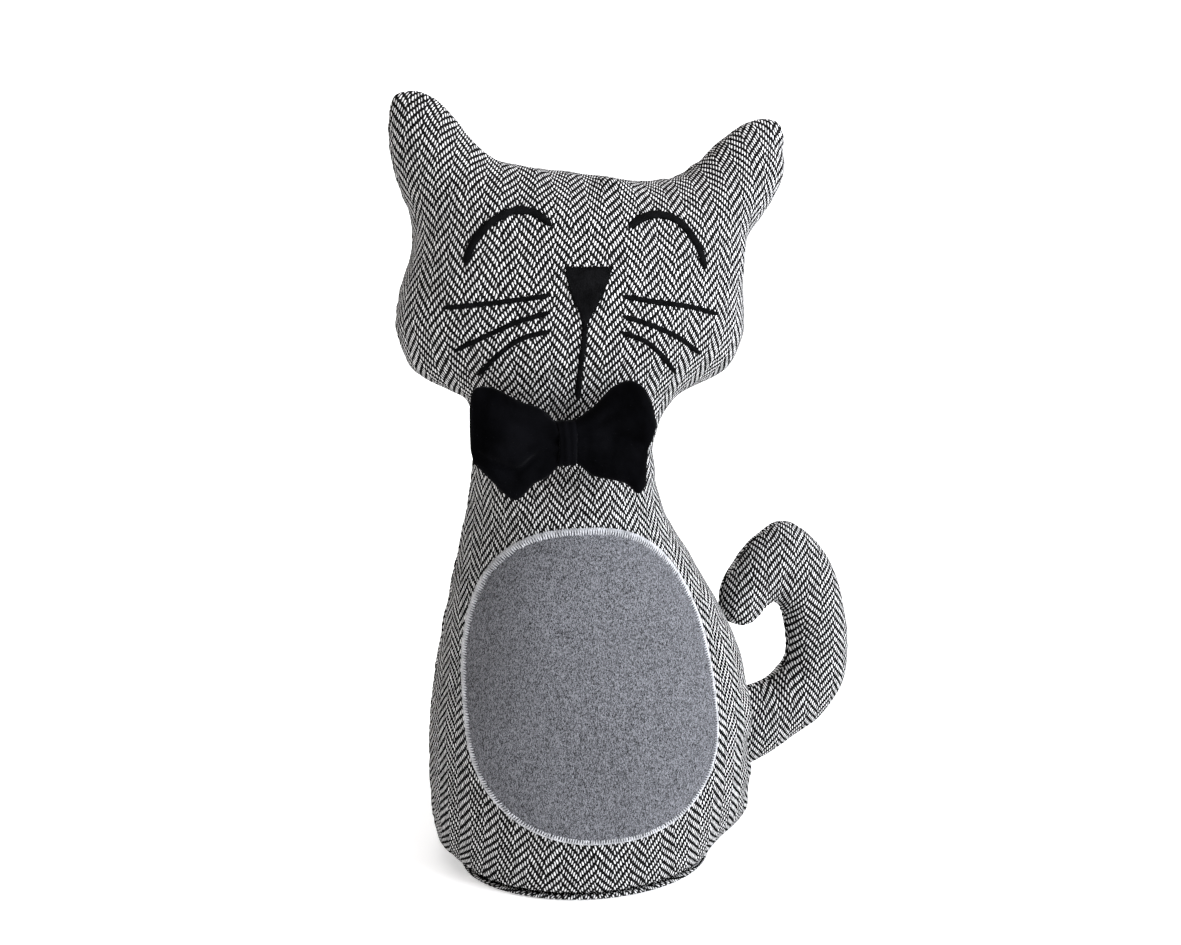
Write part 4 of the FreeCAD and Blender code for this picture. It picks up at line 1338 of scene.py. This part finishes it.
def make_edging(surface):
    """A band of pale threads sewn over the patch's rim, close together and slightly uneven."""
    turns = np.linspace(0, 2 * math.pi, 2400, endpoint=False)
    rim = patch_rim(turns)
    loop = np.vstack([rim, rim[:1]])
    even, heading, _ = resample(loop, EDGING_PITCH)
    middle = np.array([PATCH_X, PATCH_Z])
    paths = []
    for k, ((x, z), (hx, hz)) in enumerate(zip(even[:-1], heading[:-1])):
        out = np.array([hz, -hx])
        if out @ (np.array([x, z]) - middle) < 0:
            out = -out
        lean = 0.22 * (1 if k % 2 else -1) + RANDOM.uniform(-0.12, 0.12)
        reach_out = 0.55 + RANDOM.uniform(-0.15, 0.15)
        reach_in = 0.9 + 1.3 * abs(out[1]) + RANDOM.uniform(-0.3, 0.25)
        path = []
        for w in (-1.0, -0.6, -0.2, 0.25, 0.7, 1.0):
            step = (reach_out if w > 0 else reach_in) * w
            px, pz = np.array([x, z]) + out * step + np.array([hx, hz]) * lean * step
            place, normal = surface.spot(px, pz)
            lift = 0.40 if abs(w) < 0.9 else -0.02
            path.append(place + normal * lift)
        paths.append(path)
    return make_threads("patch_edging_stitching", paths, EDGING_RADIUS, MATERIALS["pale_thread"])


# ------------------------------------------------------------------ the tail


# Where the inside of the curl is tightest
TAIL_CROOK = (103.0, 102.0)


def tail_sections():
    return smooth_line(TAIL, 7)


def tail_frame(rows):
    """Middle, half width and outward direction of each section of the tail."""
    outer, inner = rows[:, [0, 1]], rows[:, [2, 3]]
    wide = np.linalg.norm(outer - inner, axis=1) / 2
    return (outer + inner) / 2, wide, (outer - inner) / (2 * wide[:, None])


def make_tail_half(name, facing, material):
    """The front or back cloth of the tail, from the root round the curl to the tip."""
    rows = tail_sections()
    middle, wide, aside = tail_frame(rows)
    run = np.concatenate([[0], np.cumsum(np.linalg.norm(np.diff(middle, axis=0), axis=1))])
    steps = 42
    turns = np.linspace(0, math.pi, steps + 1)
    across = np.cos(turns)
    across = np.sign(across) * np.abs(across) ** 0.92
    lift = np.sin(turns) ** 0.92
    crook = np.hypot(rows[:, 2] - TAIL_CROOK[0], rows[:, 3] - TAIL_CROOK[1])
    points, flat = [], []
    for k in range(len(rows)):
        depth = np.maximum(rows[k, 5] * lift, SEAM_GAP)
        plane = middle[k] + np.outer(across * wide[k], aside[k])
        points.append(np.column_stack([plane[:, 0], rows[k, 4] + facing * depth, plane[:, 1]]))
        bent = (2 / math.pi) * np.arcsin(np.clip(across, -1, 1))
        reach = np.where(across > 0, 0.35 * across + 0.88 * bent, 0.6 * across + 0.4 * bent)
        flat.append(middle[k] + np.outer(reach * wide[k], aside[k]))
    points, flat = np.array(points), np.array(flat)
    count = len(rows)
    faces = quads(count, steps + 1, closed=False)
    obj = link_mesh(name, points.reshape(-1, 3), faces, material)
    normals = normals_of(obj)
    off_plane = np.abs(points[:, :, 1] - rows[:, 4][:, None]).ravel()
    if (normals.reshape(points.shape)[count // 2, steps // 2, 1] < 0) != (facing < 0):
        obj.data.flip_normals()
        normals = -normals
    along = np.repeat(run, steps + 1)
    inside = np.tile(across < 0, count)
    gather = np.where(inside, 0.55 + 1.3 * np.exp(-np.repeat(crook, steps + 1) / 14.0), 0.55)
    seeds = (20, 21) if facing < 0 else (22, 23)
    fine = waves_along(along, 4.5, 9.0, seeds[0]) + 0.8 * waves_along(along, 9.0, 16.0, seeds[1])
    height = (
        0.36 * gather * fine * np.exp(-off_plane / 4.5)
        * (1 - np.exp(-((off_plane / 1.2) ** 2)))
    )
    height -= 0.95 * np.exp(-((off_plane / 1.3) ** 2))
    height += 0.4 * ripples(points.reshape(-1, 3), 30.0, 24) * np.clip(off_plane / 8.0, 0, 1)
    moved = points.reshape(-1, 3) + normals * height[:, None]
    moved[:, 1] = np.where(
        facing < 0,
        np.minimum(moved[:, 1], np.repeat(rows[:, 4], steps + 1) - SEAM_GAP),
        np.maximum(moved[:, 1], np.repeat(rows[:, 4], steps + 1) + SEAM_GAP),
    )
    set_points(obj, moved)
    lay_weave(obj, flat.reshape(-1, 2) * (-facing, 1.0) + (3.5, 0.0))
    return thicken(obj, CLOTH)


def make_tail_core():
    rows = tail_sections()[3:-2]
    middle, wide, aside = tail_frame(rows)
    turns = np.linspace(0, 2 * math.pi, 28, endpoint=False)
    rings = []
    for k in range(len(rows)):
        plane = middle[k] + np.outer(np.cos(turns) * max(wide[k] - 3.0, 1.2), aside[k])
        lift = np.sin(turns) * max(rows[k, 5] - 2.6, 1.0)
        rings.append(np.column_stack([plane[:, 0], rows[k, 4] + lift, plane[:, 1]]))
    verts, faces = tube_through(rings)
    core = outward(link_mesh("tail_core", verts, faces))
    core = relax(remesh(core, 2.2), 0.5, 3)
    dress(core, "fibre")
    return core


# ------------------------------------------------------------------ the bow

BOW_Y = -52.6
BOW_WAIST = -20.4
BOW_Z = 202.0
BOW_LEFT, BOW_RIGHT = -59.2, 14.6
BOW_MIDDLE, BOW_HALF = -22.3, 36.9
BAND_LEFT, BAND_RIGHT = -24.9, -16.3
VELVET, BAND_VELVET = 0.9, 1.0
SHANK_START, SHANK_LENGTH, SHANK_STRANDS = -33.2, 13.2, 7
BOW_TOP = [
    (-59.2, 222.6), (-56.8, 225.4), (-52.5, 225.6), (-48.1, 224.5), (-39.5, 219.8), (-30.6, 216.4),
    (-25.0, 211.2), (-20.4, 209.4), (-16.2, 211.6), (-8.4, 217.2), (-4.0, 221.9), (0.0, 225.2),
    (5.7, 227.2), (11.0, 225.2), (14.6, 220.6),
]
BOW_LOW = [
    (-59.2, 194.8), (-56.0, 191.6), (-51.7, 187.4), (-45.8, 181.6), (-41.4, 178.9), (-37.8, 181.4),
    (-34.2, 185.3), (-28.3, 188.2), (-24.0, 192.6), (-20.4, 194.6), (-16.0, 193.4), (-9.6, 188.2),
    (-1.4, 186.0), (4.5, 184.4), (10.0, 180.2), (12.6, 180.6), (14.6, 184.0),
]
# Height up the end, from -1 to 1, and how far the end stands out there
LEFT_END = [(-1.0, 1.0), (-0.6, -0.2), (0.0, -0.4), (0.6, -0.3), (1.0, 0.4)]
RIGHT_END = [
    (-1.0, -1.2), (-0.55, -1.2), (-0.2, -0.6), (0.07, 1.6), (0.3, 2.7), (0.7, 1.7), (1.0, -0.4),
]


def ramp(value, low, high):
    share = np.clip((value - low) / (high - low), 0, 1)
    return share * share * (3 - 2 * share)


def crease(value, centre, width):
    return np.exp(-(((value - centre) / width) ** 2))


def bow_point(x, s, facing):
    """A point of the bow's front or back at a place along it and a height from -1 to 1."""
    top = np.interp(x, *zip(*BOW_CURVES["top"]))
    low = np.interp(x, *zip(*BOW_CURVES["low"]))
    left = x < BOW_WAIST
    span = BOW_WAIST - BOW_LEFT if left else BOW_RIGHT - BOW_WAIST
    q = abs(x - BOW_WAIST) / span
    end = np.interp(s, *zip(*(LEFT_END if left else RIGHT_END)))
    out_x = x + end * ramp(q, 0.6, 1.0)
    z = low + (top - low) * (s + 1) / 2
    shell = math.sqrt(max(0.0, 1 - abs(s) ** 3.2)) * math.sqrt(max(0.0, 1 - q**7))
    depth = 4.6 + 3.6 * math.sin(math.pi * min(q / 1.25, 1.0)) + 1.2 * q
    if facing > 0:
        depth *= 0.72
    fold = 0.9 * math.cos(math.pi * (2.6 * s + 0.3)) * math.exp(-q / 0.28)
    fold += 0.35 * math.cos(math.pi * (4.3 * s + 1.1 * q)) * math.exp(-((q - 0.35) / 0.3) ** 2)
    if left:
        valley = -0.02 - 0.66 * q
        fold -= 2.9 * crease(s, valley, 0.13) * ramp(q, 0.05, 0.5)
        fold -= 1.9 * ramp(valley - s, 0.0, 0.25) * ramp(q, 0.1, 0.5)
        fold += 0.9 * crease(s, valley + 0.24, 0.14) * ramp(q, 0.1, 0.6)
        fading = 1 - ramp(q, 0.6, 0.9)
        fold -= 0.8 * crease(s, 0.42 + 0.25 * q, 0.12) * ramp(q, 0.15, 0.4) * fading
        fold -= 1.0 * crease(x, -33.5 - 4.0 * (s + 1), 2.2) * ramp(-s, 0.3, 0.75)
    else:
        valley = 0.06 - 0.2 * q
        fold -= 2.7 * crease(s, valley, 0.11) * ramp(q, 0.3, 0.8)
        fold -= 1.2 * crease(s, -0.55, 0.09) * crease(q, 0.75, 0.16)
        fold += 1.1 * crease(s, 0.38, 0.25) * ramp(q, 0.2, 0.7)
        fold -= 0.9 * crease(s, 0.62 - 0.2 * q, 0.1) * ramp(q, 0.05, 0.3) * (1 - ramp(q, 0.5, 0.8))
    if facing > 0:
        fold *= 0.5
    return (out_x, BOW_Y + facing * max(0.0, depth + fold) * shell, z)


BOW_CURVES = {"top": smooth_line(BOW_TOP, 8).tolist(), "low": smooth_line(BOW_LOW, 8).tolist()}


def make_bow():
    columns, rows = 110, 54
    even = np.linspace(-1, 1, columns + 1)
    xs = BOW_MIDDLE + BOW_HALF * np.sin(even * math.pi / 2) * 0.55 + BOW_HALF * even * 0.45
    level = np.linspace(-1, 1, rows + 1)
    heights = 0.6 * np.sin(level * math.pi / 2) + 0.4 * level
    verts, index = [], {}
    for facing in (-1, 1):
        for i, x in enumerate(xs):
            for j, s in enumerate(heights):
                border = i in (0, columns) or j in (0, rows)
                if facing > 0 and border:
                    index[facing, i, j] = index[-1, i, j]
                    continue
                index[facing, i, j] = len(verts)
                verts.append(bow_point(x, s, facing))
    faces = []
    for facing in (-1, 1):
        for i in range(columns):
            for j in range(rows):
                corners = [(i, j), (i + 1, j), (i + 1, j + 1), (i, j + 1)]
                faces.append(tuple(index[(facing, *c)] for c in corners))
    bow = outward(link_mesh("bow_velvet", verts, faces, MATERIALS["velvet"]))
    bow = relax(bow, 0.4, 2)
    return thicken(bow, VELVET)


def make_band():
    """A gathered strip round the bow's waist."""
    columns, around = 26, 88
    verts = []
    for i in range(columns + 1):
        share = i / columns
        x = BAND_LEFT + (BAND_RIGHT - BAND_LEFT) * share
        for j in range(around):
            turn = 2 * math.pi * j / around
            meander = 0.35 * math.sin(turn * 2 + 0.6)
            wave = 2 * math.pi * (2.4 * share + 0.2 * meander) + 0.9 * math.sin(turn)
            gather = 0.20 * math.cos(wave)
            rounded = 0.75 * math.sqrt(max(0.0, 1 - abs(2 * share - 1) ** 4)) - 0.75
            grow = gather + rounded
            pinch = 0.6 * math.cos(turn) ** 2 * (2 * share - 1)
            c, s = math.cos(turn), math.sin(turn)
            y = BOW_Y + (6.9 + grow) * np.sign(c) * abs(c) ** 0.8 * -1
            z = BOW_Z + (9.4 + grow) * np.sign(s) * abs(s) ** 0.8
            verts.append((x - pinch + 0.25 * meander, y, z))
    faces = quads(columns + 1, around)
    return link_mesh("bow_band_velvet", verts, faces, MATERIALS["velvet"])


# ------------------------------------------------------------------ assembly

MATERIALS = {
    "tweed": tweed_material(),
    "felt": felt_material(),
    "pale_thread": thread_material("pale_thread", 0.28, 0.86, (0.985, 0.99, 1.03), 0.2, 0.05),
    "black_thread": thread_material("black_thread", 0.0005, 0.007, (1.0, 1.0, 1.1), 0.02, 0.0),
    "velvet": velvet_material(),
    "fibre": fibre_material(),
    "pouch_cloth": calico_material(),
    "sand": sand_material(),
}


def place(obj, body, slot, *nodes):
    """Put a finished piece on its body, in place of its plain solids."""
    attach(obj, body)
    if nodes:
        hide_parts(*nodes)


add_camera()
add_lights()
add_floor()

pillow = Pillow()
body = relax(build_body(pillow), 0.5, 8)
set_points(body, points_of(body) + stuffing_push(body))
sew_body(body, pillow)
coarse = remesh(duplicate(body, "coarse"), COARSE_VOXEL)

front = make_panel(body, coarse, "front_cloth", -1)
back = make_panel(body, coarse, "back_cloth", 1)
for panel in (front, back):
    dress(panel, "tweed")
base = make_base(pillow)

core = make_core(body)
pouch_core = make_slice(core, "pouch_sand", POUCH_LOW, POUCH_HIGH)
head_core = make_slice(core, "head_fibre", HEAD_LOW, None)
body_core = make_slice(core, "body_fibre", BODY_LOW, BODY_HIGH)
pouch = duplicate(pouch_core, "pouch_cloth")
shrunk = points_of(pouch_core) - normals_of(pouch_core) * POUCH_GAP
set_points(pouch_core, shrunk)
thicken(pouch, POUCH_CLOTH)
dress(pouch_core, "sand")
dress(head_core, "fibre")
dress(body_core, "fibre")
dress(pouch, "pouch_cloth")
remove(core, coarse, body)

place(front, "cat", "tweed", "front_panel")
place(back, "cat", "tweed", "back_panel")
place(base, "cat", "tweed", "base_panel")
place(head_core, "cat", "fibre", "head_filling")
place(body_core, "cat", "fibre", "body_filling")
place(pouch, "cat", "pouch_cloth", "weight_pouch")
place(pouch_core, "cat", "sand", "ballast")

on_front = Surface(front)
patch = make_patch(on_front)
place(patch, "cat", "felt", "belly_patch")
edging = make_edging(Surface(front, patch))
place(edging, "cat", "pale_thread", "patch_edging")
for node, piece in make_face(on_front):
    place(piece, "cat", "black_thread", node)

# Ladder stitches that close the base at the back
behind = Surface(back, base)
ladder = []
for k in range(9):
    x = -18.0 + 4.5 * k
    path = []
    for share in np.linspace(0, 1, 6):
        spot, normal = behind.spot(x - 1.2 + 2.4 * share, 1.9 + 4.4 * share, 1)
        path.append(spot + normal * (0.5 * math.sin(math.pi * share) + 0.1))
    ladder.append(path)
stitches = make_threads("closing_thread", ladder, 0.4, MATERIALS["pale_thread"], sides=8)
place(stitches, "cat", "pale_thread", "closing_stitches")

tail_front = make_tail_half("tail_front_cloth", -1, MATERIALS["tweed"])
tail_back = make_tail_half("tail_back_cloth", 1, MATERIALS["tweed"])
tail_core = make_tail_core()
for piece, slot, node in (
    (tail_front, "tweed", "tail_front_panel"),
    (tail_back, "tweed", "tail_back_panel"),
    (tail_core, "fibre", "tail_filling"),
):
    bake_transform(piece)
    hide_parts(node)

bow = make_bow()
place(bow, "bow_tie", "velvet", "bow_strip")
band = thicken(make_band(), BAND_VELVET, offset=1.0)
place(band, "bow_tie", "velvet", "bow_band")

# The shank of thread that holds the bow to the neck
strands = []
for k in range(SHANK_STRANDS):
    turn = 2 * math.pi * k / SHANK_STRANDS
    path = []
    for share in np.linspace(0, 1, 9):
        twist = turn + 2.2 * share
        reach = 0.85 if k else 0.0
        aside, rise = reach * math.cos(twist), reach * math.sin(twist)
        path.append((BOW_WAIST + aside, SHANK_START - SHANK_LENGTH * share, BOW_Z + rise))
    strands.append(path)
shank = make_threads("bow_shank_thread", strands, 0.36, MATERIALS["black_thread"], sides=8)
place(shank, "bow_tie", "black_thread", "bow_tack_thread")

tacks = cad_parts["tail_tack_stitches"]
tacks.data.materials.clear()
tacks.data.materials.append(MATERIALS["pale_thread"])
